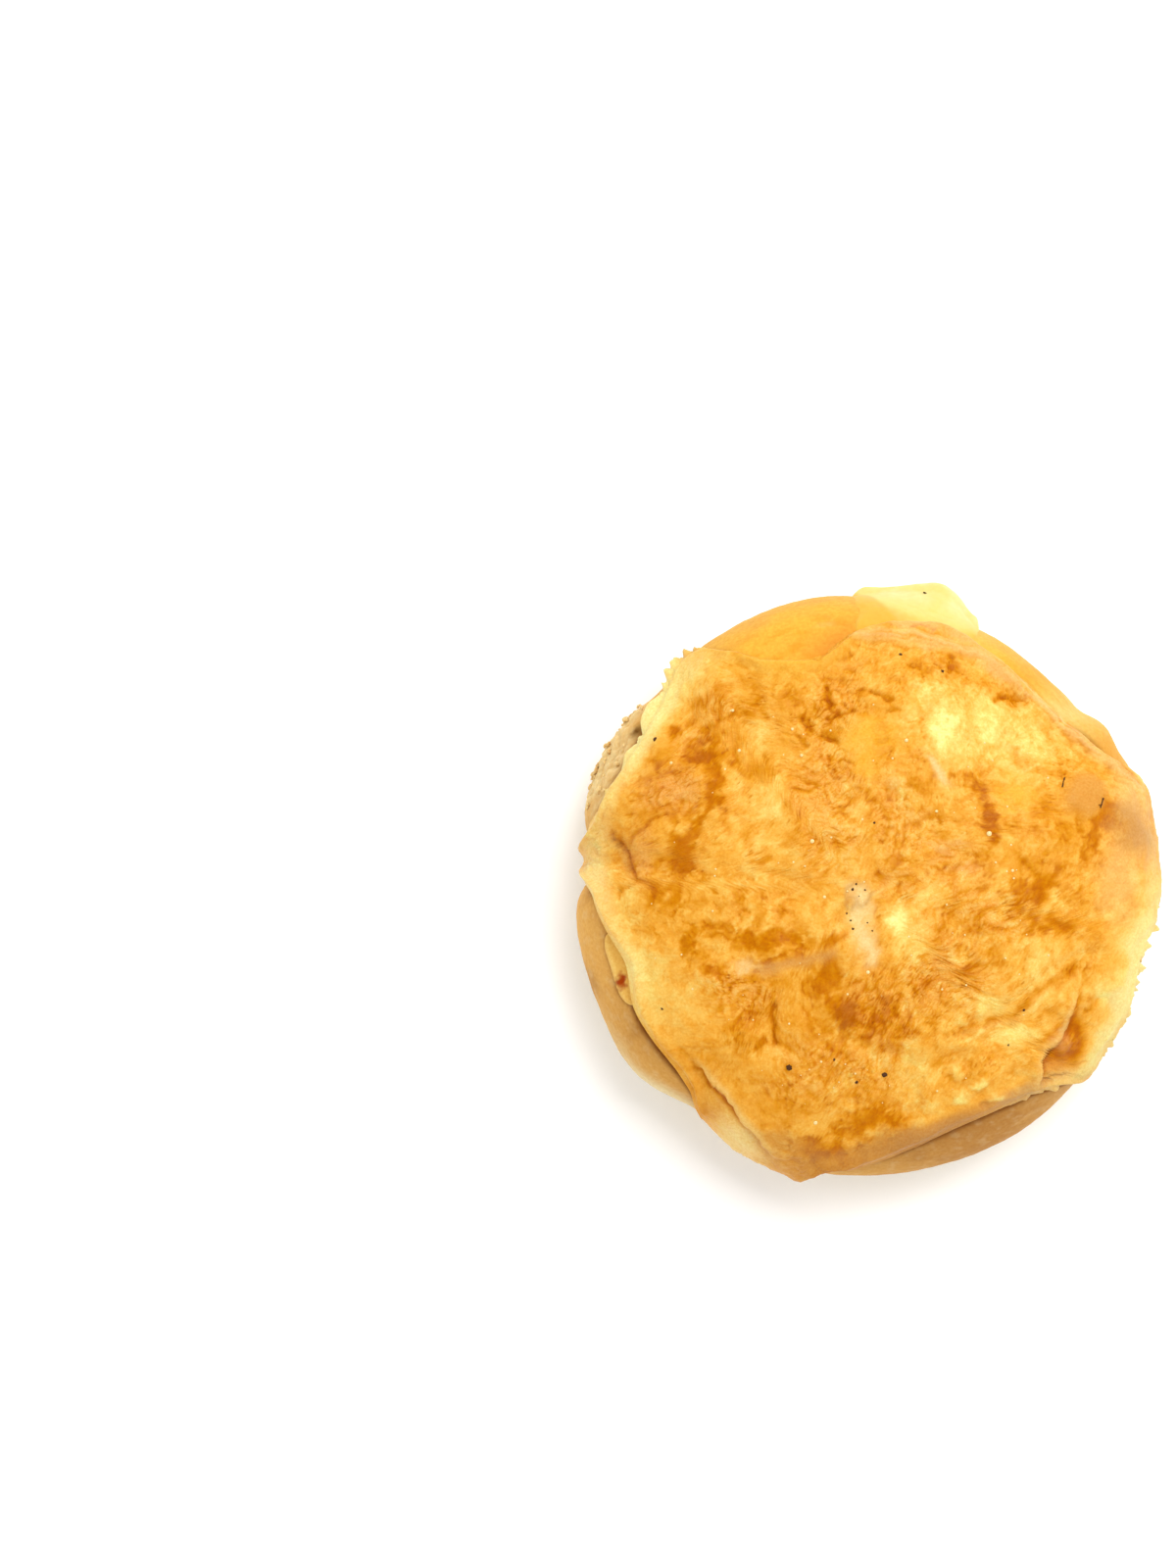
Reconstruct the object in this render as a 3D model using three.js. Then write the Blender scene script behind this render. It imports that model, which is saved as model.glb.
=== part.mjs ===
// A soft round bread roll with a slice of cheese melted and browned over its crown, and a run of
// pale cheese that has set on its side. Millimetres, +Z up. The roll stands on z = 0.
// Directions round the roll are in degrees from +X towards +Y. Phi is the angle down from the crown.
import * as THREE from "three";

// Bread: a squat dome on a flat foot, widest at the waist.
const ROLL_DIAMETER = 109;
const ROLL_HEIGHT = 43;
const WAIST_HEIGHT = 16;
const FOOT_SHARE = 0.86; // flat foot, as a share of the waist
const CROWN_POWER = 2.5; // superellipse power above the waist
const FOOT_POWER = 2.1; // and below it
const CROWN_LUMP = 0.9; // height of the soft unevenness of the crown
const CROWN_LUMP_SIZE = 26;

// Where the waist swells or pulls in.
const WAIST_SWELLS = [
  { at: 20, spread: 9, amount: 1.2 },
  { at: 48, spread: 17, amount: -1.9 },
  { at: 75, spread: 11, amount: -1.0 },
  { at: 102, spread: 15, amount: 0.9 },
  { at: 152, spread: 12, amount: 1.0 },
  { at: 175, spread: 6, amount: -4 },
  { at: 234, spread: 9, amount: -2.2 },
  { at: 304, spread: 12, amount: 0.4 },
];

// Patches where the roll was torn from its neighbours in the tin: rough open crumb round the waist.
const TORN_PATCHES = [
  { at: 153, spread: 15, amount: 1.1 },
  { at: 342, spread: 22, amount: 0.9 },
];
const CRUMB_SIZE = 5;
const TORN_HEIGHT = 0.6; // spread of a torn patch up and down, as an angle in radians

// Cheese: a thin blanket over the crown.
const CHEESE_THICKNESS = 1.8;
const CHEESE_GAP = 0.45; // clearance to the bread
const EDGE_SHARE = 0.45; // thickness at the very edge, as a share
const RIM_ROLL = 0.9; // extra thickness of the rounded rim, just inside the edge
const RIM_AT = 0.92; // places along the way from the middle (0) to the edge (1)
const RIM_WIDTH = 0.05;
const LIP_FROM = 0.84;
const RELIEF_FADES_FROM = 0.9;
const SOFT_LUMP = 0.9;
const SOFT_LUMP_SIZE = 13;
const WRINKLE = 0.7;
const WRINKLE_SIZE = 5.5;

// Reach of the blanket from the middle of the roll, seen from above: direction, then millimetres.
const CHEESE_REACH = [
  [9, 56], [19, 55.2], [27, 51.4], [34, 49.2], [45, 47.6], [61, 49.4], [76, 50.2], [90, 48.6],
  [101, 44.4], [114, 46.8], [119, 50.4], [126, 52.9], [136, 51.8], [146, 50.4], [172, 51.5], [178, 50.8],
  [186, 49.2], [192, 47.5], [198, 46.3], [208, 48], [224, 48.3], [234, 50.6], [244, 53], [252, 55.4],
  [262, 52.2], [268, 51.6], [282, 48.5], [294, 47.3], [308, 49], [315, 51.8], [322, 54.4],
  [335, 53.2], [347, 52.4], [358, 54.7],
];

// The blanket hangs past the waist where its reach comes near the waist's radius.
const DRAPE_ANGLE = 18;
const DRAPE_FROM = 0.93; // reach over waist radius at which it starts to hang
const DRAPE_FULL = 1.03; // and at which it hangs fully
const CROWN_LIMIT = 0.985; // largest share of the waist that the crown's profile is asked for

// Stretches of the edge that were pulled from a neighbour and are ragged.
const RAGGED_EDGES = [
  { at: 340, spread: 24, amount: 1.5 },
  { at: 138, spread: 13, amount: 1.3 },
  { at: 244, spread: 12, amount: 0.6 },
];
const TOOTH_STEP = 4; // degrees from one tooth to the next

// Folds of the blanket: the line each one follows from above, its half width and its depth.
const FOLDS = [
  { line: [[-30.6, -33.5], [-24.8, -39.9], [-17.8, -50]], width: 1.2, depth: 0.8 },
  { line: [[18, -27], [26, -24], [31, -19], [42.5, -11.7]], width: 1.8, depth: 1.1 },
  { line: [[34, -35], [38.5, -27], [43.5, -22]], width: 1.9, depth: 1.5 },
  { line: [[23.6, 35.4], [30.6, 34.6], [41, 27.4]], width: 1.6, depth: 0.9 },
  { line: [[-48.5, 10.8], [-45.2, 7.8], [-43.5, 3]], width: 1.6, depth: 0.9 },
  { line: [[-31, 29.3], [-24.3, 32.7]], width: 1.5, depth: 0.8 },
  { line: [[-4, -27], [6, -32], [9, -40]], width: 2.2, depth: 0.9 },
];

// Ledge: a lower step along the blanket's edge, outside a fold.
const LEDGES = [{ at: 238, spread: 15, amount: 1.4 }];
const LEDGE_WIDTH = 3; // from the edge, seen from above
const LEDGE_SLOPE = 1.6; // width of its slope

// Hollows left by burst bubbles.
const HOLLOWS = [
  { at: [38.9, -29], radius: 4.5, depth: 2.2 },
  { at: [-2, 0], radius: 4, depth: 0.8 },
  { at: [-9, 26], radius: 7, depth: 0.8 },
];

// Run: pale cheese that flowed down the side and stands out beyond the waist.
const RUN_FROM = 65.5;
const RUN_TO = 92;
const RUN_PEAK = 76;
const RUN_MIDDLE = 108; // phi at its middle, in degrees
const RUN_DROP = 30; // and from there to its top or bottom edge
const RUN_END_SHARE = 0.4; // drop at either end, as a share
const RUN_THICKNESS = 4.6;
const RUN_EDGE = 0.5;
const RUN_SWELL_POWER = 0.6; // below 1 for a full belly

const BREAD_LOOK = { color: 0xcf9a55, roughness: 0.75, metalness: 0 };
const CHEESE_LOOK = { color: 0xf3b14a, roughness: 0.42, metalness: 0 };
const RUN_LOOK = { color: 0xf6e38f, roughness: 0.4, metalness: 0 };

// One seed for each kind of unevenness.
const SEEDS = { crown: 1, lumps: 3, wrinkles: 4, teeth: 5, crumb: 7 };

// Mesh steps.
const BREAD_SEGMENTS = 96;
const CROWN_RINGS = 18;
const FOOT_RINGS = 9;
const CHEESE_STEPS = 40;
const RUN_STEPS_ROUND = 24;
const RUN_STEPS_DOWN = 12;
const SLOPE_STEP = 0.02; // radians between the points that a slope is measured at
const POLE_BLEND = 0.25; // radians from the crown over which normals turn upright

const RIGHT_ANGLE = Math.PI / 2;
const { degToRad, radToDeg, clamp, smoothstep, lerp } = THREE.MathUtils;

// A bell curve round the roll, 1 at its centre.
function bell(degrees, { at, spread }) {
  const apart = ((degrees - at + 540) % 360) - 180;
  return Math.exp(-((apart / spread) ** 2));
}

function sumOfBells(degrees, bells) {
  return bells.reduce((sum, one) => sum + one.amount * bell(degrees, one), 0);
}

// A repeatable number from 0 to 1 for each whole-numbered point.
function latticeValue(i, j, seed) {
  const mixed = Math.sin(i * 127.1 + j * 311.7 + seed * 74.7) * 43758.5453;
  return mixed - Math.floor(mixed);
}

// Smooth noise from -1 to 1 that changes over about one unit.
function softNoise(x, y, seed) {
  const [i, j] = [Math.floor(x), Math.floor(y)];
  const [u, v] = [smoothstep(x - i, 0, 1), smoothstep(y - j, 0, 1)];
  const near = lerp(latticeValue(i, j, seed), latticeValue(i + 1, j, seed), u);
  const far = lerp(latticeValue(i, j + 1, seed), latticeValue(i + 1, j + 1, seed), u);
  return 2 * lerp(near, far, v) - 1;
}

// A closed smooth curve through [degrees, value] knots, as a function of the direction.
function roundCurve(knots) {
  const count = knots.length;
  const knot = (k) => {
    const turns = Math.floor(k / count);
    const [angle, value] = knots[k - turns * count];
    return [angle + 360 * turns, value];
  };
  return (degrees) => {
    const angle = ((degrees % 360) + 360) % 360;
    const k = knots.findLastIndex(([start]) => start <= angle);
    const [[a0, v0], [a1, v1], [a2, v2], [a3, v3]] = [k - 1, k, k + 1, k + 2].map(knot);
    const span = a2 - a1;
    const t = (angle - a1) / span;
    const leave = ((v2 - v0) / (a2 - a0)) * span;
    const arrive = ((v3 - v1) / (a3 - a1)) * span;
    const [t2, t3] = [t ** 2, t ** 3];
    const start = (2 * t3 - 3 * t2 + 1) * v1 + (t3 - 2 * t2 + t) * leave;
    const end = (3 * t2 - 2 * t3) * v2 + (t3 - t2) * arrive;
    return start + end;
  };
}

function waistRadius(degrees) {
  return ROLL_DIAMETER / 2 + sumOfBells(degrees, WAIST_SWELLS);
}

// A point of the bread's skin, from the crown (phi 0) past the waist to the edge of the foot (phi 180).
function breadPoint(degrees, phi) {
  const theta = degToRad(degrees);
  let share;
  let z;
  if (phi <= RIGHT_ANGLE) {
    share = Math.sin(phi) ** (2 / CROWN_POWER);
    z = WAIST_HEIGHT + (ROLL_HEIGHT - WAIST_HEIGHT) * Math.cos(phi) ** (2 / CROWN_POWER);
  } else {
    const below = Math.min(phi - RIGHT_ANGLE, RIGHT_ANGLE);
    share = FOOT_SHARE + (1 - FOOT_SHARE) * Math.max(Math.cos(below), 0) ** (2 / FOOT_POWER);
    z = WAIST_HEIGHT * (1 - Math.sin(below) ** (2 / FOOT_POWER));
  }
  const radius = waistRadius(degrees) * share;
  const [x, y] = [radius * Math.cos(theta), radius * Math.sin(theta)];
  const crown = Math.max(Math.cos(phi), 0);
  z += CROWN_LUMP * crown * softNoise(x / CROWN_LUMP_SIZE, y / CROWN_LUMP_SIZE, SEEDS.crown);
  return new THREE.Vector3(x, y, z);
}

// The bread's outward direction at the same place, from its slopes round and down.
function breadNormal(degrees, phi) {
  const middle = clamp(phi, 2 * SLOPE_STEP, Math.PI - 2 * SLOPE_STEP);
  const turn = radToDeg(SLOPE_STEP);
  const down = breadPoint(degrees, middle + SLOPE_STEP).sub(breadPoint(degrees, middle - SLOPE_STEP));
  const round = breadPoint(degrees + turn, middle).sub(breadPoint(degrees - turn, middle));
  const upright = 1 - smoothstep(phi, 0, POLE_BLEND);
  return down.cross(round).normalize().lerp(new THREE.Vector3(0, 0, 1), upright).normalize();
}

// Open crumb of the torn patches. It only ever cuts in.
function crumbDepth(degrees, phi) {
  const round = (degToRad(degrees) * ROLL_DIAMETER) / 2 / CRUMB_SIZE;
  const down = (phi * ROLL_HEIGHT) / 2 / CRUMB_SIZE;
  const rough = 0.5 + 0.5 * softNoise(round, down, SEEDS.crumb);
  const nearWaist = Math.exp(-(((phi - RIGHT_ANGLE) / TORN_HEIGHT) ** 2));
  return rough * nearWaist * sumOfBells(degrees, TORN_PATCHES);
}

function lineDistance(x, y, line) {
  const point = new THREE.Vector3(x, y, 0);
  const distances = line.slice(1).map((end, k) => {
    const segment = new THREE.Line3(new THREE.Vector3(...line[k], 0), new THREE.Vector3(...end, 0));
    return segment.closestPointToPoint(point, true, new THREE.Vector3()).distanceTo(point);
  });
  return Math.min(...distances);
}

// How far the blanket's face rises or falls at a place: lumps, wrinkles, folds and hollows.
function cheeseRelief(x, y) {
  let rise = SOFT_LUMP * softNoise(x / SOFT_LUMP_SIZE, y / SOFT_LUMP_SIZE, SEEDS.lumps);
  rise += WRINKLE * softNoise(x / WRINKLE_SIZE, y / WRINKLE_SIZE, SEEDS.wrinkles);
  for (const { line, width, depth } of FOLDS) {
    rise -= depth * Math.exp(-((lineDistance(x, y, line) / width) ** 2));
  }
  for (const { at, radius, depth } of HOLLOWS) {
    rise -= depth * Math.exp(-((Math.hypot(x - at[0], y - at[1]) / radius) ** 2));
  }
  return rise;
}

const smoothReach = roundCurve(CHEESE_REACH);

// Reach of the blanket with the teeth of its torn stretches.
function tornReach(degrees) {
  const teeth = softNoise(degrees / TOOTH_STEP, 0, SEEDS.teeth);
  return smoothReach(degrees) + teeth * sumOfBells(degrees, RAGGED_EDGES);
}

// How far the blanket hangs over the side: 0 where it ends on the crown, 1 where it passes the waist.
function overhang(degrees) {
  return smoothstep(smoothReach(degrees) / waistRadius(degrees), DRAPE_FROM, DRAPE_FULL);
}

// Phi at the blanket's edge, so that seen from above it has its reach.
function cheeseEnd(degrees) {
  const share = Math.min(smoothReach(degrees) / waistRadius(degrees), CROWN_LIMIT);
  return Math.asin(share ** (CROWN_POWER / 2)) + degToRad(DRAPE_ANGLE) * overhang(degrees);
}

// How far the blanket's face drops to a ledge, at a distance from the edge.
function ledgeDepth(degrees, inset) {
  return sumOfBells(degrees, LEDGES) * (1 - smoothstep(inset, LEDGE_WIDTH, LEDGE_WIDTH + LEDGE_SLOPE));
}

// A point of the blanket. Along runs from its middle (0) to its edge (1), face is 0 below and 1 above.
function cheesePoint(degrees, along, face) {
  const theta = degToRad(degrees);
  const phi = cheeseEnd(degrees) * along;
  const hanging = overhang(degrees);
  const place = breadPoint(degrees, phi);
  const rim = RIM_ROLL * (1 - hanging) * Math.exp(-(((along - RIM_AT) / RIM_WIDTH) ** 2));
  const taper = lerp(1, EDGE_SHARE, smoothstep(along, RIM_AT, 1));
  const relief = cheeseRelief(place.x, place.y) * (1 - smoothstep(along, RELIEF_FADES_FROM, 1));
  const ledge = ledgeDepth(degrees, smoothReach(degrees) - Math.hypot(place.x, place.y));
  const edgeThickness = CHEESE_THICKNESS * EDGE_SHARE;
  const thickness = Math.max((CHEESE_THICKNESS + rim) * taper + relief - ledge, edgeThickness);
  place.addScaledVector(breadNormal(degrees, phi), CHEESE_GAP + face * thickness);
  const spare = tornReach(degrees) - waistRadius(degrees) - CHEESE_GAP - edgeThickness;
  const lip = Math.max(spare, 0) * hanging * smoothstep(along, LIP_FROM, 1);
  return place.add(new THREE.Vector3(lip * Math.cos(theta), lip * Math.sin(theta), 0));
}

// Spreads a square of steps evenly over a disc: the share of its radius, and the direction.
function squareToDisc(a, b) {
  if (a === 0 && b === 0) return [0, 0];
  if (Math.abs(a) > Math.abs(b)) return [Math.abs(a), 45 * (b / a) + (a < 0 ? 180 : 0)];
  return [Math.abs(b), 90 - 45 * (a / b) + (b < 0 ? 180 : 0)];
}

function namedMesh(name, { points, triangles }, look) {
  const geometry = new THREE.BufferGeometry().setFromPoints(points);
  geometry.setIndex(triangles);
  geometry.computeVertexNormals();
  const mesh = new THREE.Mesh(geometry, new THREE.MeshStandardMaterial(look));
  mesh.name = name;
  return mesh;
}

// A closed sheet of columns by rows cells, from pointAt(column, row, face) with face 0 below and 1 above.
// Each cell is split along its shorter diagonal, so that it follows the curve it lies on.
function closedSheet(columns, rows, pointAt) {
  const points = [];
  const triangles = [];
  const across = columns + 1;
  const perFace = across * (rows + 1);
  for (const face of [0, 1]) {
    for (let row = 0; row <= rows; row++) {
      for (let column = 0; column <= columns; column++) points.push(pointAt(column, row, face));
    }
  }
  const index = (column, row, face) => face * perFace + row * across + column;
  const apart = (a, b) => points[a].distanceTo(points[b]);
  const addCell = (a, b, c, d) => {
    if (apart(a, c) < apart(b, d)) triangles.push(a, b, c, a, c, d);
    else triangles.push(a, b, d, b, c, d);
  };
  for (let row = 0; row < rows; row++) {
    for (let column = 0; column < columns; column++) {
      const corners = [[column, row], [column + 1, row], [column + 1, row + 1], [column, row + 1]];
      addCell(...corners.map(([c, r]) => index(c, r, 1)));
      addCell(...corners.reverse().map(([c, r]) => index(c, r, 0)));
    }
  }
  const rim = [];
  for (let column = 0; column < columns; column++) rim.push([column, 0]);
  for (let row = 0; row < rows; row++) rim.push([columns, row]);
  for (let column = columns; column > 0; column--) rim.push([column, rows]);
  for (let row = rows; row > 0; row--) rim.push([0, row]);
  rim.forEach((start, k) => {
    const end = rim[(k + 1) % rim.length];
    addCell(index(...start, 0), index(...end, 0), index(...end, 1), index(...start, 1));
  });
  return { points, triangles };
}

function breadRoll() {
  const ringAngles = [];
  for (let k = 1; k <= CROWN_RINGS; k++) ringAngles.push((RIGHT_ANGLE * k) / CROWN_RINGS);
  for (let k = 1; k <= FOOT_RINGS; k++) ringAngles.push(RIGHT_ANGLE + (RIGHT_ANGLE * k) / FOOT_RINGS);
  const points = [breadPoint(0, 0)];
  for (const phi of ringAngles) {
    for (let k = 0; k < BREAD_SEGMENTS; k++) {
      const degrees = (360 * k) / BREAD_SEGMENTS;
      const depth = crumbDepth(degrees, phi);
      points.push(breadPoint(degrees, phi).addScaledVector(breadNormal(degrees, phi), -depth));
    }
  }
  const footRing = 1 + (ringAngles.length - 1) * BREAD_SEGMENTS;
  for (let k = 0; k < BREAD_SEGMENTS; k++) points[footRing + k].z = 0;
  const footMiddle = points.push(new THREE.Vector3(0, 0, 0)) - 1;
  const triangles = [];
  for (let k = 0; k < BREAD_SEGMENTS; k++) {
    const next = (k + 1) % BREAD_SEGMENTS;
    triangles.push(0, 1 + k, 1 + next);
    for (let ring = 0; ring < ringAngles.length - 1; ring++) {
      const [upper, lower] = [1 + ring * BREAD_SEGMENTS, 1 + (ring + 1) * BREAD_SEGMENTS];
      triangles.push(upper + k, lower + k, lower + next, upper + k, lower + next, upper + next);
    }
    triangles.push(footMiddle, footRing + next, footRing + k);
  }
  return namedMesh("bread_roll", { points, triangles }, BREAD_LOOK);
}

function cheeseTopping() {
  const sheet = closedSheet(CHEESE_STEPS, CHEESE_STEPS, (column, row, face) => {
    const [along, degrees] = squareToDisc((2 * column) / CHEESE_STEPS - 1, (2 * row) / CHEESE_STEPS - 1);
    return cheesePoint(degrees, along, face);
  });
  return namedMesh("cheese_topping", sheet, CHEESE_LOOK);
}

function cheeseRun() {
  const sheet = closedSheet(RUN_STEPS_ROUND, RUN_STEPS_DOWN, (column, row, face) => {
    const degrees = lerp(RUN_FROM, RUN_TO, column / RUN_STEPS_ROUND);
    const side = degrees < RUN_PEAK ? RUN_PEAK - RUN_FROM : RUN_TO - RUN_PEAK;
    const round = Math.sqrt(Math.max(1 - ((degrees - RUN_PEAK) / side) ** 2, 0));
    const drop = RUN_DROP * lerp(RUN_END_SHARE, 1, round);
    const up = row / RUN_STEPS_DOWN;
    const phi = degToRad(RUN_MIDDLE + drop * (1 - 2 * up));
    const swell = Math.sin(Math.PI * up) ** RUN_SWELL_POWER;
    const thickness = lerp(RUN_EDGE, RUN_THICKNESS, round * swell);
    return breadPoint(degrees, phi).addScaledVector(breadNormal(degrees, phi), CHEESE_GAP + face * thickness);
  });
  return namedMesh("cheese_run", sheet, RUN_LOOK);
}

const cheeseRoll = new THREE.Group();
cheeseRoll.add(breadRoll(), cheeseTopping(), cheeseRun());

// Puts the middle of the whole over the origin.
const middle = new THREE.Box3().setFromObject(cheeseRoll, true).getCenter(new THREE.Vector3());
for (const piece of cheeseRoll.children) piece.position.set(-middle.x, -middle.y, 0);

export default cheeseRoll;
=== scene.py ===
import bmesh
import bpy
import numpy as np
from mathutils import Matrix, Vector


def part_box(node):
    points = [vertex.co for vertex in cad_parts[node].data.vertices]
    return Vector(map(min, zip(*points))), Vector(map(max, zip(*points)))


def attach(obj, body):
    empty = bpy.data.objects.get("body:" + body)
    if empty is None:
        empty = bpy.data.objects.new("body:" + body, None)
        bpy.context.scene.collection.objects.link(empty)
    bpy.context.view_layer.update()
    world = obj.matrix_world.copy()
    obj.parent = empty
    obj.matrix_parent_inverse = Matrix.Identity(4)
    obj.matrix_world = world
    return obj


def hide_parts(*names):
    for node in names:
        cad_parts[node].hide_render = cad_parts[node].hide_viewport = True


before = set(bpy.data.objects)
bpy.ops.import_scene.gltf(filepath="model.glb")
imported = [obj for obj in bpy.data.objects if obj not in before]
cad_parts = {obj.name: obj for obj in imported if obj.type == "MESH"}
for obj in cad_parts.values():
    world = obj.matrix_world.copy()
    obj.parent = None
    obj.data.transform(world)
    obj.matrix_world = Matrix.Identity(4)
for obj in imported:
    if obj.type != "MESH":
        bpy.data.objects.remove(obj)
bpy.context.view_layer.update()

MM = 0.001

# Bread: a squat dome on a flat foot, widest at the waist.
ROLL_DIAMETER = 109
ROLL_HEIGHT = 43
WAIST_HEIGHT = 16
FOOT_SHARE = 0.86  # flat foot, as a share of the waist
CROWN_POWER = 2.5  # superellipse power above the waist
FOOT_POWER = 2.1  # and below it
CROWN_LUMP = 0.9
CROWN_LUMP_SIZE = 26
# Swells and dips of the waist: direction, spread, millimetres.
WAIST_SWELLS = [
    (20, 9, 1.2), (48, 17, -1.9), (75, 11, -1.0), (102, 15, 0.9), (152, 12, 1.0), (175, 6, -4),
    (234, 9, -2.2), (304, 12, 0.4),
]

# Torn patches round the waist: direction, spread and depth of the open crumb.
TORN_PATCHES = [(153, 15, 1.1), (342, 22, 0.9)]
CRUMB_SIZE = 5
TORN_HEIGHT = 0.6
# Where the waist draws in or stands out a little: direction, spread, millimetres.
WAIST_DENTS = [(136, 7, -1.3), (33.5, 4, 1.2), (39.5, 2.5, -0.4), (218, 10, 1.1)]

# Cheese: a thin blanket over the crown.
CHEESE_THICKNESS = 1.8
CHEESE_GAP = 0.45
CHEESE_SUNK = 0.25  # how far the blanket's lower face lies in the bread
EDGE_SHARE = 0.45
EDGE_BULGE = 0.3
RIM_ROLL = 0.9
RIM_AT = 0.92
RIM_WIDTH = 0.05
LIP_FROM = 0.84
RELIEF_FADES_FROM = 0.9
SOFT_LUMP = 0.9
SOFT_LUMP_SIZE = 13
WRINKLE = 0.7
WRINKLE_SIZE = 5.5

# Reach of the blanket from the middle of the roll, seen from above: direction, then millimetres.
CHEESE_REACH = [
    (9, 56), (19, 55.2), (27, 51.4), (34, 49.2), (45, 47.6), (61, 49.4), (76, 50.2), (90, 48.6),
    (101, 44.4), (114, 46.8), (119, 50.4), (126, 52.9), (136, 51.8), (146, 50.4), (172, 51.5), (178, 50.8),
    (186, 49.2), (192, 47.5), (198, 46.3), (208, 48), (224, 48.3), (234, 50.6), (244, 53), (252, 55.4),
    (262, 52.2), (268, 51.6), (282, 48.5), (294, 47.3), (308, 49), (315, 51.8), (322, 54.4),
    (335, 53.2), (347, 52.4), (358, 54.7),
]
DRAPE_ANGLE = 18
DRAPE_FROM = 0.93
DRAPE_FULL = 1.03
CROWN_LIMIT = 0.985

# Stretches of the edge that are torn into teeth: direction, spread and size of the teeth.
RAGGED_EDGES = [(340, 24, 1.5), (138, 13, 1.3), (244, 12, 0.6)]
TOOTH_STEP = 4

# Folds of the blanket: the line seen from above, half width, depth.
FOLDS = [
    ([(-30.6, -33.5), (-24.8, -39.9), (-17.8, -50)], 1.2, 0.8),
    ([(18, -27), (26, -24), (31, -19), (42.5, -11.7)], 1.8, 1.1),
    ([(34, -35), (38.5, -27), (43.5, -22)], 1.9, 1.5),
    ([(23.6, 35.4), (30.6, 34.6), (41, 27.4)], 1.6, 0.9),
    ([(-48.5, 10.8), (-45.2, 7.8), (-43.5, 3)], 1.6, 0.9),
    ([(-31, 29.3), (-24.3, 32.7)], 1.5, 0.8),
    ([(-4, -27), (6, -32), (9, -40)], 2.2, 0.9),
]

# Ledge: a lower step along the blanket's edge, outside a fold: direction, spread and depth.
LEDGES = [(238, 15, 1.4)]
LEDGE_WIDTH = 3
LEDGE_SLOPE = 1.6

# Hollows left by burst bubbles: place, radius, depth.
HOLLOWS = [((38.9, -29), 4.5, 2.2), ((-2, 0), 4, 0.8), ((-9, 26), 7, 0.8)]

# Run: pale cheese that flowed down the side and stands out beyond the waist.
RUN_FROM = 65.5
RUN_TO = 92
RUN_PEAK = 76
RUN_MIDDLE = 108
RUN_DROP = 30
RUN_END_SHARE = 0.4
RUN_THICKNESS = 4.6
RUN_EDGE = 0.5
RUN_SWELL_POWER = 0.6
RUN_SUNK = 0.2
# Where the run is fuller or thinner: direction, spread, share.
RUN_LEAN = [(75.5, 4.5, 0.26), (87, 6, -0.36), (68, 2.5, -0.3)]
RUN_UNEVEN = 0.12  # unevenness of the run's lower edge, as a share of its drop
RUN_UNEVEN_STEP = 7
RUN_FILM = 0.4  # thickness of the film that joins the run to the blanket
RUN_FILM_TUCK = 3  # degrees that the film reaches under the blanket
# Line where the run leaves the golden crust: direction, phi and slope, in degrees.
RUN_GOLD_EDGE = (85.2, 73.5, 3.4)
RUN_GOLD_SWAY = 2  # how much the run's unevenness moves that line
RUN_GOLD_FADE = (-2, 4)
RUN_SPECK = (78.4, 1.55, 0.35)  # direction, phi and radius of a burnt speck on the run
# Unevenness of the run's face, its size and seed, and the share of it that the film keeps.
RUN_SOFT = 0.2
RUN_NOISE = (5, 191)
RUN_FILM_SOFT = 0.3
RUN_FILM_FROM = 0.72  # where up the run it starts to thin to a film, as a share of its height
RUN_SINKS_FROM = 0.7  # where its foot starts to sink into the bread, from -1 at the top of the run to 1
# The film's ragged ends: how ragged, how many teeth, their row of noise, and where the film sinks.
FILM_RAGGED = 0.4
FILM_TEETH = 7
FILM_TEETH_ROW = 0.3
FILM_SINKS = (0.1, 0.6)

SEEDS = {
    "crown": 1, "lumps": 3, "wrinkles": 4, "teeth": 5, "crumb": 7, "fringe": 181, "tufts": 183,
    "run_edge": 193, "run_film": 197, "beads": 209, "crumbs": 221,
}
SLOPE_STEP = 0.02
POLE_BLEND = 0.25
PROFILE_STEPS = 400
AXIS_STEPS = (720, 180)  # round and down the bread, to find its middle
RIGHT_ANGLE = np.pi / 2

# Noise: how points are mixed to random numbers, and the steps from one seed to the next.
LATTICE = (127.1, 311.7, 74.7, 43758.5453)
SLOPE_NOISE_SCALE = 1.5
LAYER_SEED_STEP = 17
PUSH_SEED_STEP = 5
# Noise round the roll is seen from two sides, with a blend between them.
ROUND_SEED_STEP = 3
ROUND_SHIFT = 200
ROUND_BLEND = 0.15

# Fine teeth of the torn edges: size in millimetres, step in degrees, and where along the blanket they start.
FINE_TOOTH = 1.9
FINE_TOOTH_STEP = 2.2
FINE_TOOTH_FROM = 0.94
TUFT_REACH = 0.5
TUFT_STEP = 6
TUFT_ROW = 0.4  # row of the noise that places the tufts
TUFT_FADE = (-0.1, 0.5)
TUFTED_STRETCH = (341, 25)  # direction and spread of the stretch with tufts all along
FRINGE_FADE = (0.1, 0.5)
FRAYED_STRETCHES = [(245, 8, 0.5)]  # less torn: direction, spread, share
# Scallops of the torn edge: direction, spread and size in millimetres.
SCALLOPS = [
    (131, 3.5, 1), (135, 1.2, -1), (139.4, 2, 1.2), (142.5, 2.5, 1.4), (146.2, 1.3, -1.2),
    (150.6, 1.6, 0.5), (156, 3, -0.9), (162, 2, -0.5), (317, 4, -1.7),
]

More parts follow.
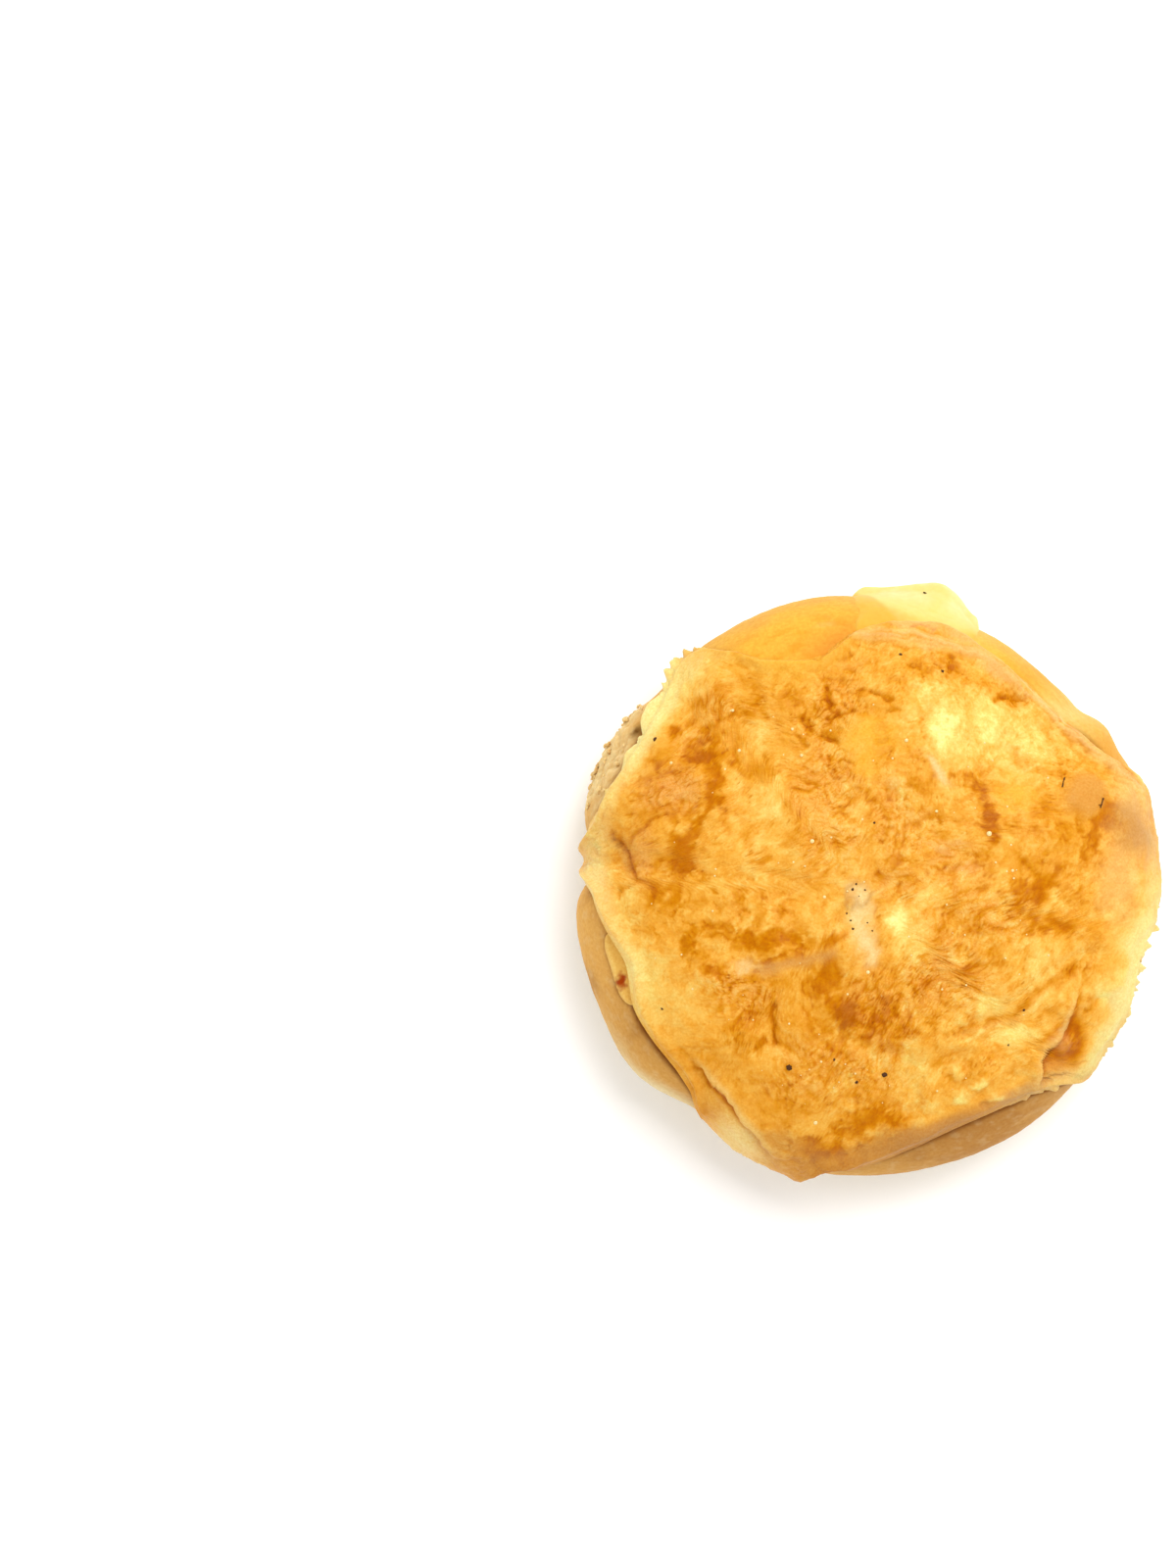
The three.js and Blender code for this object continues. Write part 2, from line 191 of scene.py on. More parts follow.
# Stretches of the blanket's edge: direction and spread.
TORN_STRETCHES = [(341, 28), (142, 20)]
MERGED_STRETCH = (88, 36)  # melted into what lies under it
MERGED_FADE = (0.3, 0.6)
LOWER_LEFT = (218, 36)
LOWER_RIGHT = (298, 24)
# Painted shade near the lower right edge, and on the rim where it turns down out of the light.
SHADED_EDGE_STRETCH = (285, 40)
TURNED_STRETCH = (284, 36)  # turned down, out of the light
JOINED_STRETCH = (110, 14)  # stained like the crust that it joins
# How far marks reach in from the edge: whole up to the first distance and gone at the second.
EDGE_REACH = {
    "flange": (4, 10), "sunk": (0.5, 4), "lower_left": (8, 16), "lower_right": (2, 7), "pale_edge": (0.6, 4),
    "shaded_edge": (0.5, 4.5), "turned": (0.4, 3.2), "joined": (0, 7), "light_flange": (1.2, 6.5),
    "light_rim": (0, 2), "torn_edge": (0.4, 3),
}
TEETH_FROM = 0.955
HANGING_PHI = (1.25, 1.58)
# Shares lost: of a torn edge's light and cream where it hangs, and of the warm gold painted into a hanging
# side's shade where it is torn.
LIGHT_LOST_HANGING = 0.6
CREAM_LOST_HANGING = 0.5
GOLD_LOST_TORN = 0.5
# Where the blanket is drawn in or thinned: thinning has a depth, and a start and end along the blanket.
PINCHED_STRETCH = (20, 6)
PINCHED_PHI = (1.1, 1.4)
PINCH_DEPTH = 0.8
TORN_THINNING = [(1.3, 0.8, 0.92), (-0.65, 0.95, 1)]
MERGED_FROM = 0.93
MERGED_DEPTH = 1.3

# Fine mesh steps.
CHEESE_STEPS = 300
CHEESE_BACK_STEP = 5
BREAD_SEGMENTS = 480
BREAD_CAP_RINGS = 24
BREAD_SIDE_RINGS = 110
BREAD_SIDE_FROM = 0.9  # phi at which the bread's fine rings start, well under the cheese
RUN_STEPS = (120, 60, 24)  # round, up the run and up its film
BALL_SUBDIVISIONS = 3

# Patches of the cheese seen from above: x, y, half length, half width, turn in degrees, strength.
AMBER_POOLS = [
    (-30.6, 25.4, 3.6, 2.4, 20, 1), (-34.6, 6.7, 2.8, 4.2, 0, 1), (30.7, -0.4, 4.4, 1.8, 0, 1),
    (33.8, -7, 4.6, 2.3, 0, 0.8), (-18.7, -9.8, 6, 2.5, 0, 1), (-26.9, -8.6, 3.4, 2, 0, 0.7),
    (-33, -10.5, 2, 2.5, 0, 0.8), (-27.9, -15.7, 3.4, 1.6, 0, 0.7), (-6.1, -9.5, 2.7, 1.2, 25, 1),
    (-7, -17.8, 3.8, 4.8, 0, 0.8), (-4.5, -23.7, 3, 2.5, 0, 1), (0.7, -43.6, 5.2, 2.3, 20, 0.9),
    (-5.4, -44.8, 2, 1.5, 0, 0.7), (-19.9, 5.4, 2.4, 0.8, 15, 0.9), (-19.9, -24.3, 1.9, 0.8, 20, 0.6),
    (-19.9, -29.2, 1.7, 0.8, 25, 0.6), (-16.9, -38.3, 1.6, 2.9, 0, 0.4), (-41, 21, 4, 4, 0, 0.5),
    (-34, 15, 4, 3.5, 0, 0.5), (-14, -13, 9, 3.5, 0, 0.5), (4.5, -24.5, 4.5, 4, -40, 0.6),
    (18.9, -15.4, 5, 1.4, 15, 0.7), (10.3, -13, 1.4, 1.1, 0, 0.9), (3, 28, 1.1, 1.5, -30, 0.5),
    (45.5, 14, 1.8, 4.2, 15, 0.7), (21, 20, 2, 4, 30, 0.5), (-8, -49, 7, 2.5, 0, 0.7),
    (28, 35.2, 3, 1, -10, 0.6), (-2, 23.3, 0.9, 1.2, 0, 0.4), (-24, 44, 3, 2, -30, 0.6),
    (-10, 46, 4, 2, 0, 0.4), (-14, 36, 3, 2.5, 0, 0.4), (-23, 28, 2, 4, 0, 0.3), (-24, -29, 3, 2.5, 0, 0.4),
    (36, 2, 5, 4, 0, 0.28), (36, 12, 5, 4, 0, 0.28), (-36, -2, 4, 4, 0, 0.35), (2, -28, 4, 2.5, 0, 0.5),
]
DEEP_POOLS = [
    (-30.6, 25.4, 3, 1.8, 20, 0.8), (-4.5, -23.7, 2.6, 2, 0, 0.8), (-18.7, -9.8, 4, 1.4, 0, 0.5),
    (-6.1, -28.5, 1.9, 1.9, 0, 0.6), (30.7, -0.4, 3, 1.2, 0, 0.5), (6.3, 0.8, 3, 2, 0, 0.5),
    (17.2, 41, 1.5, 1.4, 0, 0.8), (-1.6, 44.4, 1.2, 1, 0, 0.6), (7.3, 45, 1.4, 0.8, 0, 0.6),
    (11.1, 39.5, 1.2, 1, 0, 0.5), (29.2, 34.6, 1.5, 0.8, 0, 0.5),
]
HONEY_POOLS = [(0.8, 28.6, 4.6, 3.6, 0, 0.8), (0, 23.8, 2.2, 3, 0, 0.8), (28.3, 17.8, 3.6, 3.4, 0, 0.8)]
PALE_PATCHES = [
    (14.7, 29.6, 3.8, 4.6, 0, 1), (23, 28.5, 3.4, 2, 0, 0.9), (12.2, 37.4, 2.8, 2, 0, 0.6),
    (30.4, 27.2, 2.4, 2.4, 0, 0.6), (25.7, 24.1, 2.2, 1.2, 0, 0.7), (28, 21.4, 1.5, 1.5, 0, 0.7),
    (22.2, 29.6, 12, 8.5, 0, 0.45), (6.1, -6.5, 2.2, 2.8, 0, 1), (-18.3, 15.9, 4.2, 3.5, 0, 0.6),
    (-19.9, 29.4, 3.5, 2.6, 0, 0.5), (9.3, -10.2, 3, 3, 0, 0.6), (32.9, -13, 4, 3, 0, 0.4),
    # Of the pale spots on this row and the next, those at (17.5, -34.6), (21.2, -36.5), (18.6, -39) and (25,
    # -39.3) are painted highlights on the lumps there.
    (23.7, -21.9, 4.2, 3, 0, 0.4), (-33.3, -21.3, 6, 5, 0, 0.35), (17.5, -34.6, 1.2, 1.2, 0, 0.7),
    (21.2, -36.5, 2.2, 1, 40, 0.8), (18.6, -39, 1.4, 1.1, 0, 0.6), (25, -39.3, 1.8, 0.6, 5, 0.9),
    (-50, 1, 3, 8, 0, 0.3), (28, -28, 4, 1.6, 15, 0.6), (-42, -17, 4, 9, 30, 0.6),
    (-24, -47, 5, 3.5, -35, 0.7), (9, -35, 4, 5, 0, 0.5), (27, -29, 3, 2.5, 0, 0.5),
    (43, -18, 3, 2.5, 0, 0.4), (-4, 4, 3, 3, 0, 0.4), (-18, 5, 6, 5, 0, 0.25), (-30, 35, 4, 4, 0, 0.3),
    (44.5, -31, 2.5, 5, -35, 0.6), (5.8, 19.8, 1.5, 1.5, 0, 0.5),
]
PINK_PATCHES = [
    (15.9, 7.2, 3.4, 2, 0, 0.8), (18.4, 3.9, 2.3, 1.6, 0, 0.8),
    (-36.8, 18.3, 5.3, 3.8, 0, 0.7), (-41.5, 6.1, 2.8, 5, 0, 0.7), (5.8, 19.8, 1.7, 1.7, 0, 0.5),
    (36.4, -29, 1.6, 1.6, 0, 0.9), (36, -34, 2.4, 1.4, 0, 0.6), (53, 10, 2.5, 6, 15, 0.9),
]
CREAM_PATCHES = [
    (51, 13, 3, 9, 15, 0.9), (48, 2, 4, 9, 0, 0.7), (25, 41, 5, 1.6, -38, 0.9),
    (14, 45.4, 6, 1.2, -10, 0.7), (10, 50, 6, 1.6, -5, 0.9), (19, 47, 5, 1.6, -28, 0.9),
]
# Tan rims, partly painted shade where the blanket's edge turns down.
TAN_AND_SHADE_PATCHES = [
    (50.5, 11.5, 3.5, 4.5, 15, 0.8), (52.6, 9.5, 2.5, 3.2, 10, 0.8), (10, -46.5, 8, 2.4, 12, 1),
    (30, -38.6, 5, 2, 28, 0.9), (-15, -48.5, 7, 2.4, -15, 0.55), (1.5, -48.6, 6, 1.8, 15, 0.7),
]
WRINKLED_PATCHES = [
    (-7.6, 19.8, 6, 7, 0, 1), (-6.7, 8.1, 6, 5, 0, 1), (-6.1, 32.2, 6, 5, 0, 0.9), (6.5, 11.1, 4, 7, 0, 1),
    (6.3, 0.9, 4, 3.5, 0, 1), (3.7, -23, 7, 6, 0, 1), (14.8, -17.6, 9, 7, 0, 1), (22.2, -4.6, 9, 5, 0, 0.9),
    (-36.9, 18.3, 6, 4, 0, 1), (-29.6, 34.3, 5, 4, 0, 0.9), (-3.7, -34.3, 12, 6, 0, 0.6),
    (16.7, 4.6, 6, 4, 0, 1), (-27, -19, 6, 4, 0, 0.8), (-21, -22, 4, 4, 0, 0.7), (-33, 28, 4, 4, 0, 0.8),
]
# Among these broad shifts of browning, those at the pit near (38.5, -29.5), (37.5, -28.5) and (35.5, -29.5),
# and along the lower rims near (22, -43), (14, -46) and (-33, -40.5), are partly painted shade.
BROAD_TONES = [
    (-36, 10, 8, 20, 0, 0.1), (-12, -20, 20, 9, 0, 0.14), (-14, -40, 18, 8, 0, 0.12),
    (-30, -28, 8, 8, 0, 0.1), (-20, 30, 16, 8, 20, 0.08), (42, 14, 6, 8, 0, 0.08), (6, -4, 7, 4, 0, -0.12),
    (8, 6, 8, 6, 0, -0.06), (22, 29, 12, 7, 0, -0.06), (28, -22, 10, 6, 30, -0.1), (35, 8, 6, 5, 0, 0.12),
    (38.5, -29.5, 3.4, 3.4, 0, 0.2), (-40, 20, 5, 5, 0, 0.08), (-6, -36, 5, 3.5, 0, -0.12),
    (-15.5, -27, 3, 4, 0, -0.1), (42, -14, 3, 5, 0, -0.1), (-7.5, -28, 2.5, 2.5, 0, 0.1),
    (5, 27, 3, 4, 0, 0.06), (18, 40, 8, 2, -15, 0.1), (6, -30, 3, 3, 0, -0.08),
    (-6, -17.5, 2.5, 2.5, 0, -0.15), (-15, -20, 3, 2.5, 0, -0.1), (-13, -25, 3, 3, 0, -0.1),
    (6, -10, 2.5, 3, 0, -0.12), (-27, 24, 2.5, 2.5, 0, -0.12), (21, 20.5, 1.5, 3, 0, -0.12),
    (1, 2, 3, 2, 0, -0.08), (-45, -5, 2, 4, 0, -0.08), (-48.3, 12, 2, 3.5, 0, 0.1),
    (17.5, 19.5, 2, 2, 0, 0.15), (-7, -28, 2, 2, 0, 0.12), (-8, 46, 4, 2, 0, 0.08),
    (-34, 17, 4, 3, 0, 0.06), (37.5, -28.5, 3, 4, 0, 0.15), (14, -46, 9, 2, 15, 0.12),
    (53, 9, 3, 6, 10, 0.24), (35.5, -29.5, 2.5, 3, 0, 0.2), (22, -43, 10, 2, 28, 0.15),
    (-33, -40.5, 4, 2, -45, 0.06), (20, -25, 3, 2, 0, -0.12), (-6.5, -36, 2.5, 2.5, 0, -0.12),
    (4.5, -12, 2, 3, 0, -0.1), (-45, -3, 2.5, 4, 0, -0.12), (8, 26, 2, 3, 0, 0.12),
    (-8, 21, 2.5, 2.5, 0, 0.1), (-23, 27, 2.5, 5, 0, 0.07), (-51, 2, 2, 6, 0, -0.08),
    (-28, -44, 2.5, 2.5, 0, 0.12), (-28, -20, 5, 4, 0, -0.08), (-24, -22, 2.5, 2.5, 0, -0.06),
]
FIBROUS_PATCHES = [
    (4, -24, 8, 7, 0, 1), (15, -15, 12, 7, 20, 1), (-3.7, -34, 14, 7, 0, 0.7), (24, -4, 9, 6, 20, 0.8),
    (27, 27, 9, 6, 0, 0.4), (-26, -30, 9, 7, 0, 0.5),
]

# Streaks of the cheese seen from above: line, half width, strength.
AMBER_STREAKS = [
    ([(-28.1, 21.5), (-27.9, 15.9), (-30.6, 12.2), (-34.6, 7.6)], 1.3, 0.9),
    ([(43.5, 12.2), (41.5, 7.2)], 1.8, 0.8), ([(-26.9, 38), (-35.2, 28.7)], 2, 0.7),
    ([(0, 18), (2.5, 16.2), (5.5, 16)], 0.6, 0.6),
    ([(3.7, 11.5), (7.2, 11.5), (9.6, 12.2), (13.4, 12.8)], 0.8, 0.8),
    ([(7.2, 11.5), (7, 8.3), (5.7, 5.2), (5, 3.7)], 0.9, 0.8), ([(20.7, 5.2), (23.9, 2.2)], 0.6, 0.7),
]
BROWN_STREAKS = [
    ([(17, 21.3), (20, 18.8), (22, 17)], 1.2, 0.7), ([(22.8, 15.8), (23.7, 13), (23.3, 10.2)], 1.4, 0.9),
    ([(5.1, 49.1), (12.8, 48.9)], 0.5, 0.6),
]
FILM_STREAKS = [
    ([(-1.4, -0.8), (-0.9, -5), (-0.7, -8.5), (0.8, -12.5)], 1.8, 1),
    ([(11.7, 24.4), (14.4, 20.2)], 1.1, 0.9), ([(-23.6, -14.4), (-21.2, -14.4)], 1.1, 0.7),
]
TAN_STREAKS = [
    ([(-19, -14.8), (-15.5, -14.4), (-11, -13.4), (-6.2, -12.2)], 1, 0.75),
    ([(-19, -15.4), (-16.5, -15)], 1.2, 0.7),
]
# Ridge along the upper right edge: line, half width, strength. It is raised, and painted pinkish cream with a
# painted highlight along it.
RIDGE = (
    [
        (-1.9, 47.7), (9.3, 47.2), (20, 44.2), (25, 41.6), (29.5, 38), (31.5, 35.7), (36, 31.8), (39, 29.2),
        (42, 26.5), (45, 24), (48, 21.6), (50.5, 20.4), (52, 18.8),
    ],
    1, 0.9,
)
FIBRE_MIDDLE = (0, -16)  # x, y that the fibres lead away from
# Creases seen from above: line, half width, strength. Each is a groove, darkened with amber where oil gathers
# and with painted shade.
CREASES = [
    ([(-17.4, -21.9), (-17.1, -29.1)], 0.5, 1),
    ([(15, -27.5), (20, -26.5), (24, -25), (28, -24), (30, -21), (33.5, -18.5), (39.5, -14.8)], 0.8, 0.5),
    ([(40, -21), (41, -17), (41.5, -14)], 0.5, 0.4), ([(42, -23), (43.5, -21)], 0.5, 0.5),
    ([(33.6, -36.5), (35.3, -36.3)], 0.45, 1.4), ([(35.4, -35.6), (38, -35.2)], 0.35, 0.8),
    ([(-47.5, 10), (-45.5, 7.5), (-44, 6), (-43.7, 3.5), (-43, 1.5), (-41, 1)], 0.5, 0.8),
    ([(-44, 8.5), (-42, 11), (-40, 13), (-37, 13.5)], 0.5, 0.7),
    ([(-46.5, -2), (-45.5, 0), (-43.5, 0.8)], 0.4, 0.7), ([(-31, 29.3), (-24.3, 32.7)], 0.5, 0.6),
    ([(-10, 43), (-8.5, 43.2), (-7.5, 44.8)], 0.4, 0.8), ([(-3, 36.2), (-0.5, 36.9)], 0.4, 0.7),
    ([(1, 36.5), (3.5, 35.9), (4.7, 35.2)], 0.5, 1), ([(-7, 31.6), (-3, 33), (-2.2, 33.6)], 0.4, 0.7),
    ([(4, 33.3), (6.5, 33.3)], 0.4, 0.6), ([(-12.6, 28.2), (-11.4, 26.4)], 0.45, 0.8),
    ([(-12, 32), (-10.2, 29.6)], 0.6, 0.9), ([(-8, 28.8), (-5.6, 27.2)], 0.6, 0.9),
    ([(-7.4, 37.4), (-6.8, 34.4)], 0.7, 0.9), ([(24, 35.4), (27, 35.5), (30, 35.3)], 0.5, 0.9),
    ([(37.6, -25.6), (40, -26.4), (41, -29), (40, -31.6), (37.6, -33), (35.2, -33.2)], 1.5, 0.8),
    ([(28, 7.5), (29.5, 4.5), (33, 2)], 0.5, 0.5), ([(34, -22.8), (37, -24)], 0.5, 0.4),
]
# Stretches with a pale rim: direction, spread, strength.
PALE_EDGES = [(244.3, 5.6, 1.25), (178, 11, 0.85), (199, 7, 0.5)]
FILM_BUBBLES = [(-1.5, -1.1, 2.2), (-2.7, -2.6, 1.1)]  # skins of burst bubbles: x, y, radius
RING_WIDTH = 0.35

# Lips: where one layer of the blanket ends above another: line and rise, with the higher side on its left.
LIPS = [
    ([(33.2, -39), (33.2, -33), (34, -30.8), (38.3, -25.7), (40.2, -19)], 1.3),
    ([(-32.5, -32), (-29, -36), (-26, -39.5), (-24, -42.5), (-21, -46), (-17, -51)], 1),
    ([(-43, 0), (-44, 6), (-48.5, 11.5)], 0.4),
    ([(36, -17), (28, -24), (24, -25), (14, -27.6)], 0.35),
]
LIP_HALF_STEP = 0.35
LIP_WIDTH = 2.6
LIP_FOOT = 1.4
LIP_ABOVE = 0.6  # shares of a lip's rise above and below the plain face
LIP_BELOW = 0.4
LIP_SHADE_WIDTH = 0.5
LIP_LIGHT_WIDTH = 0.6

# Small rises and dips of the blanket: x, y, half length, half width, turn, height.
RISES = [
    (17.5, -34.6, 1.3, 1.3, 0, 0.7), (21.2, -36.5, 2.4, 1.1, 40, 0.8), (18.6, -39, 1.6, 1.3, 0, 0.6),
    (25, -39.3, 1.8, 0.7, 5, 0.7), (36.4, -29, 1.7, 1.7, 0, 1.2), (29, -31.5, 3.6, 2.6, 0, 0.6),
    (30, -27.5, 3.6, 1.6, 20, 0.5), (18, -31.3, 2.6, 1.4, 10, -0.7), (22.3, -40.8, 0.9, 0.7, 0, -0.7),
    (34, 7, 4.2, 4.2, 0, 0.6), (-41, 6.5, 2.6, 4.4, 0, 0.6), (-33, 19, 3.2, 3.2, 0, 0.5),
    (-46, 17, 3, 4, 0, 0.5), (5.8, 19.8, 1.4, 1.3, 0, 0.5), (-29, -37, 2, 1.4, -50, 0.4),
    (-23, -27.5, 3, 2, 0, 0.5), (-13, -26, 3, 3, 0, 0.5),
]
BLISTER = (40.8, 17.4, 4.6)  # x, y, radius
BLISTER_FADE = (0.5, 1.15)
BLISTER_UNEVENNESS = 0.15

# Noise of the cheese: size and seed, then how many layers. A push has its reach before the seed.
OUTLINE_PUSHES = [(4.5, 1.3, 31), (1.7, 0.5, 41)]
MARBLING_PUSHES = [(7, 3.2, 53), (3.2, 1.7, 55)]
MARBLING = (5, 111, 4)
FINE_MARBLING_PUSHES = [(2.6, 1.3, 57), (1.2, 0.6, 59)]
FINE_MARBLING = (1.9, 117)
TAN_FILM_PUSHES = [(2.5, 0.4, 46)]
CREASE_PUSHES = [(2.5, 0.5, 45)]
RIDGE_PUSHES = [(5, 0.5, 43)]
LIP_PUSHES = [(3, 0.4, 47)]
WRINKLE_PUSHES = [(5, 2, 51, 1), (2.2, 0.9, 52, 1)]
LOBE_PUSHES = [(1.4, 0.5, 235)]
PATCHINESS = (9, 61)
PATCHY_FADE = (-0.3, 0.5)
FIBRE_NOISE = (6, 97)
FIBRE_UNEVENNESS = 0.7
SKIN_SWELLS = [(0.1, 2.4, 101), (0.25, 6, 105)]  # height, size, seed
LONG_FOLDS = (6, 0.6, 3, 49)  # step in degrees, width, reach to each side of the ridge, seed
DRIPS = [(3, 6, 121), (1.2, 9, 123)]  # step in degrees, how many from middle to edge, seed
VEINS = (3.6, 0.07, 118)  # size, width, seed
VEIN_GAPS = (4, 119)
VEIN_FADE = (-0.25, 0.35)
FIBRES = (1.3, 3.4, 71)  # width, length, seed
FIBRE_SAMPLES = 9
FIBRE_CONTRAST = 1.4
# Lines of the crumpled skin: size, strength, and the seeds of the lines and of the gaps in them.
CRUMPLES = [(3, 1, 81, 84), (1.65, 0.7, 94, 91)]
CRUMPLE_GAP = 1.9  # size of the gaps as a share of the lines' size
CRUMPLE_FADE = (-0.6, 0.1)
CRUMPLE_PROFILE = [(0.75, 0.12), (0.25, 0.3)]  # strengths and widths that make up a line

# How marks of the cheese show. Fades run from nothing to whole, or back.
SPOT_FADE = (0.3, 1.7)
CRISP_FADE = (0.2, 0.84)
CRISP_UNEVENNESS = {"marbling": 0.22, "fine_marbling": 0.12}
PALEST_FADE = (0.6, 1)
CREST_FADE = (0.1, 0.4)
FOLD_FADE = (0, 0.5)
FOLDS_IN_RIDGE = 0.7
LINES_IN_PINK = 0.9
RIDGE_HIGHLIGHT_SHARE = 0.8
CREAM_BLUSH = 0.65
PATCHY_WRINKLES = 0.35
RIM_SMOOTHING = 0.45
RIM_SMOOTHED = (0.8, 0.95)
# How smooth each mark makes the skin, and how much of the relief, colour and veins smooth skin loses.
SMOOTHNESS = {
    "amber": 0.7, "honey": 0.7, "pale": 0.6, "film": 1, "tan_film": 1, "blister": 1, "pink": 0.15,
    "cream": 0.7, "margin": 0.85, "sunk": 0.8, "flange": 0.75,
}
RELIEF_SMOOTHING = 0.8
COLOUR_SMOOTHING = 0.7
VEIN_SMOOTHING = 0.9
PLAIN_VEINS = 0.3
WRINKLED_VEINS = 0.9
# Rise of each mark in millimetres, and of the marks that fade where the skin is smooth.
MARK_RISE = {
    "wrinkle_lines": -0.25, "fibres": 0.12, "pool": -0.2, "ridge": 0.5, "ring": 0.2, "shaded_crease": -0.6,
    "lip_rise": 1, "rises": 1, "long_folds": -0.2, "blister": 0.8,
}
ROUGH_RISE = {"veins": -0.18, "fine_marbling": -0.15}
EDGE_FLATTENING = 0.7  # share of the rise that is lost at the edge
# Browning of each mark: those that fade where the skin is smooth, those that honey covers and those over it.
# The darkening of the creases is partly painted shade, and that of the lips' shade and of the shaded edge is
# wholly painted shade.
BASE_BROWNING = 0.525
ROUGH_BROWNING = {"marbling": 0.22, "fine_marbling": 0.17, "veins": 0.22}
MARK_BROWNING = {
    "wrinkle_lines": 0.46, "wrinkled": -0.13, "fibres": 0.12, "shaded_crease": 0.42, "lip_shade": 0.5,
    "rises": -0.05, "pale": -0.38, "palest": -0.12,
}
LAST_BROWNING = {
    "margin": -0.08, "pale_edge": -0.08, "amber": 0.33, "deep": 0.16, "brown": 0.42, "long_folds": 0.25,
    "drips": 0.14, "shaded_edge": 0.2, "light_flange": -0.29, "light_rim": -0.12,
}
HONEY_BROWNING = 0.46
HONEY_HOLD = 0.5  # how far honey takes the browning to its own
HONEY_GLOSS = 0.5

# Burnt specks and beads of oil on the cheese: x, y, radius.
SPECKS = [
    (-14.3, -33.5, 0.55), (3.5, -34.8, 0.45), (-1.7, -36.2, 0.28), (-5.9, -32, 0.28), (-38, -22.6, 0.28),
    (-39.3, 27.8, 0.35), (1.5, 12.2, 0.3), (6.6, 43.7, 0.3), (14.4, 40.6, 0.3), (29.6, -22.8, 0.25),
    (26.7, -29.3, 0.2), (47, -28.7, 0.25), (-2.6, -0.2, 0.24), (-1.9, 0.8, 0.2), (-0.3, -0.3, 0.22),
    (-1.4, -1.5, 0.16), (-3.6, -4.7, 0.2), (-2.9, -6, 0.2), (-2.5, -7.6, 0.24), (0.2, -6.4, 0.14),
    (1.1, -7.9, 0.16),
]

# Cracks in the blister: lines of burnt specks.
CRACKS = [
    ([(37.2, 20.6), (37, 19.9), (36.7, 18.8)], 0.15),
    ([(44.5, 16.7), (44.2, 15.9), (43.9, 14.8)], 0.15),
    ([(44.2, 15.6), (43.6, 15.5)], 0.12),
]
CRACK_STEP = 0.2
OIL_BEADS = [
    (7.5, 27.6, 0.35), (13.1, 14.4, 0.3), (22.9, 10.2, 0.5), (27.3, 3.3, 0.3), (0.3, -15.6, 0.35),
    (-9.3, -43.9, 0.4), (-10.1, 8.8, 0.4), (-7.8, -1.6, 0.3), (-24.8, 33.2, 0.3), (-12, 24.8, 0.3),
    (-23.6, 25.7, 0.3), (-36.3, 23.4, 0.3), (-13.7, 29.7, 0.3),
]
FINE_BEADS = 80
FINE_BEAD_REACH = 42
FINE_BEAD_RADII = (0.1, 0.22)

# Crumbs that cling to each torn patch: how many, how far they spread as a share of the patch, and radii.
CRUMB_COUNT = 40
CRUMB_SPREAD = 0.45
CRUMB_RADII = (0.25, 0.9)
CRUMB_LIMIT = 0.8
CRUMB_SHADING = 0.8

# Small lumps: height as a share of the radius, unevenness and seed.
SPECK_LUMPS = (0.5, 0.3, 201)
BEAD_LUMPS = (0.7, 0.05, 211)
CRUMB_LUMPS = (0.7, 0.45, 223)
LUMP_FINENESS = 1.3
LUMP_NOISE_SPAN = 50
LUMP_ASIDE = (0.3, 0.9, 0.1)  # a direction that no lump faces

# Crust of the bread. Stretches of its side: direction and spread.
SIDE_STRETCHES = {
    "golden": (75, 42), "golden_left": (105, 25), "lobe_crease_shade": (199.5, 3), "cream_foot": (224, 12),
    "cream_side": (322, 8), "glowing": (44, 17), "light": (40, 5), "amber": (52, 5), "amber_end": (29, 4),
    "film": (75, 11), "blanket_edge_shade": (97, 8), "less_shaded": (187, 8),
}
# Browner crust on the lower sides, partly painted shade of the sides turned from the light.
BROWNED_AND_SHADED_STRETCHES = [(296, 22, 1), (212, 14, 0.3)]  # direction, spread, strength
# Levels down its side: phi between which a mark comes in, or ends, and how far mottling moves them.
SIDE_LEVELS = {
    "golden": (1.45, 1.95, 0.2), "foot": (1.6, 2.3, 0.15), "cream_foot": (1.22, 1.45, 0.05),
    "film": (1, 1.2, 0), "film_end": (1.8, 2.3, 0.2), "deep_film": (1.2, 1.4, 0),
}
# Noise of the bread: size and seed.
BREAD_NOISE = {
    "mottle": (9, 171), "flecks": (2.2, 173), "streaks": (7, 175), "tears": (5, 141), "pores": (4.5, 151),
    "fine_pores": (2.4, 153), "crumb": (3, 155), "crust": (4, 161), "fine_crust": (1.2, 165),
}
STREAK_SQUEEZE = 2.6  # how much shorter streaks are down the side than round it
STREAK_SWAY = 4
STREAK_FADE = (0, 0.7)
MOTTLE_FADE = (0, 0.7)
MOTTLED_BROWN = 0.4
FLECK_FADE = (0.15, 0.7)
# Painted shade of the crease beside the lobe: its phi, and the fade from it.
LOBE_CREASE_SHADE_PHI = 1.45
LOBE_CREASE_SHADE_FADE = (0.05, 0.2)
GOLD_STRENGTH = 1.2
GOLD_FADING = 0.9
GLOWING_STREAKS = 0.5
GLOWING_FADE = (-0.5, 0.5)
AMBER_SHARE = 0.5
AMBER_END_SHARE = 0.4
# Tan towards the golden band's outer edge, partly painted shade where the crust turns down: the phi where it
# comes in, and how much streaks move it.
TAN_AND_SHADED_EDGE_PHI = (1.1, 1.45)
TAN_AND_SHADED_EDGE_UNEVENNESS = 0.1
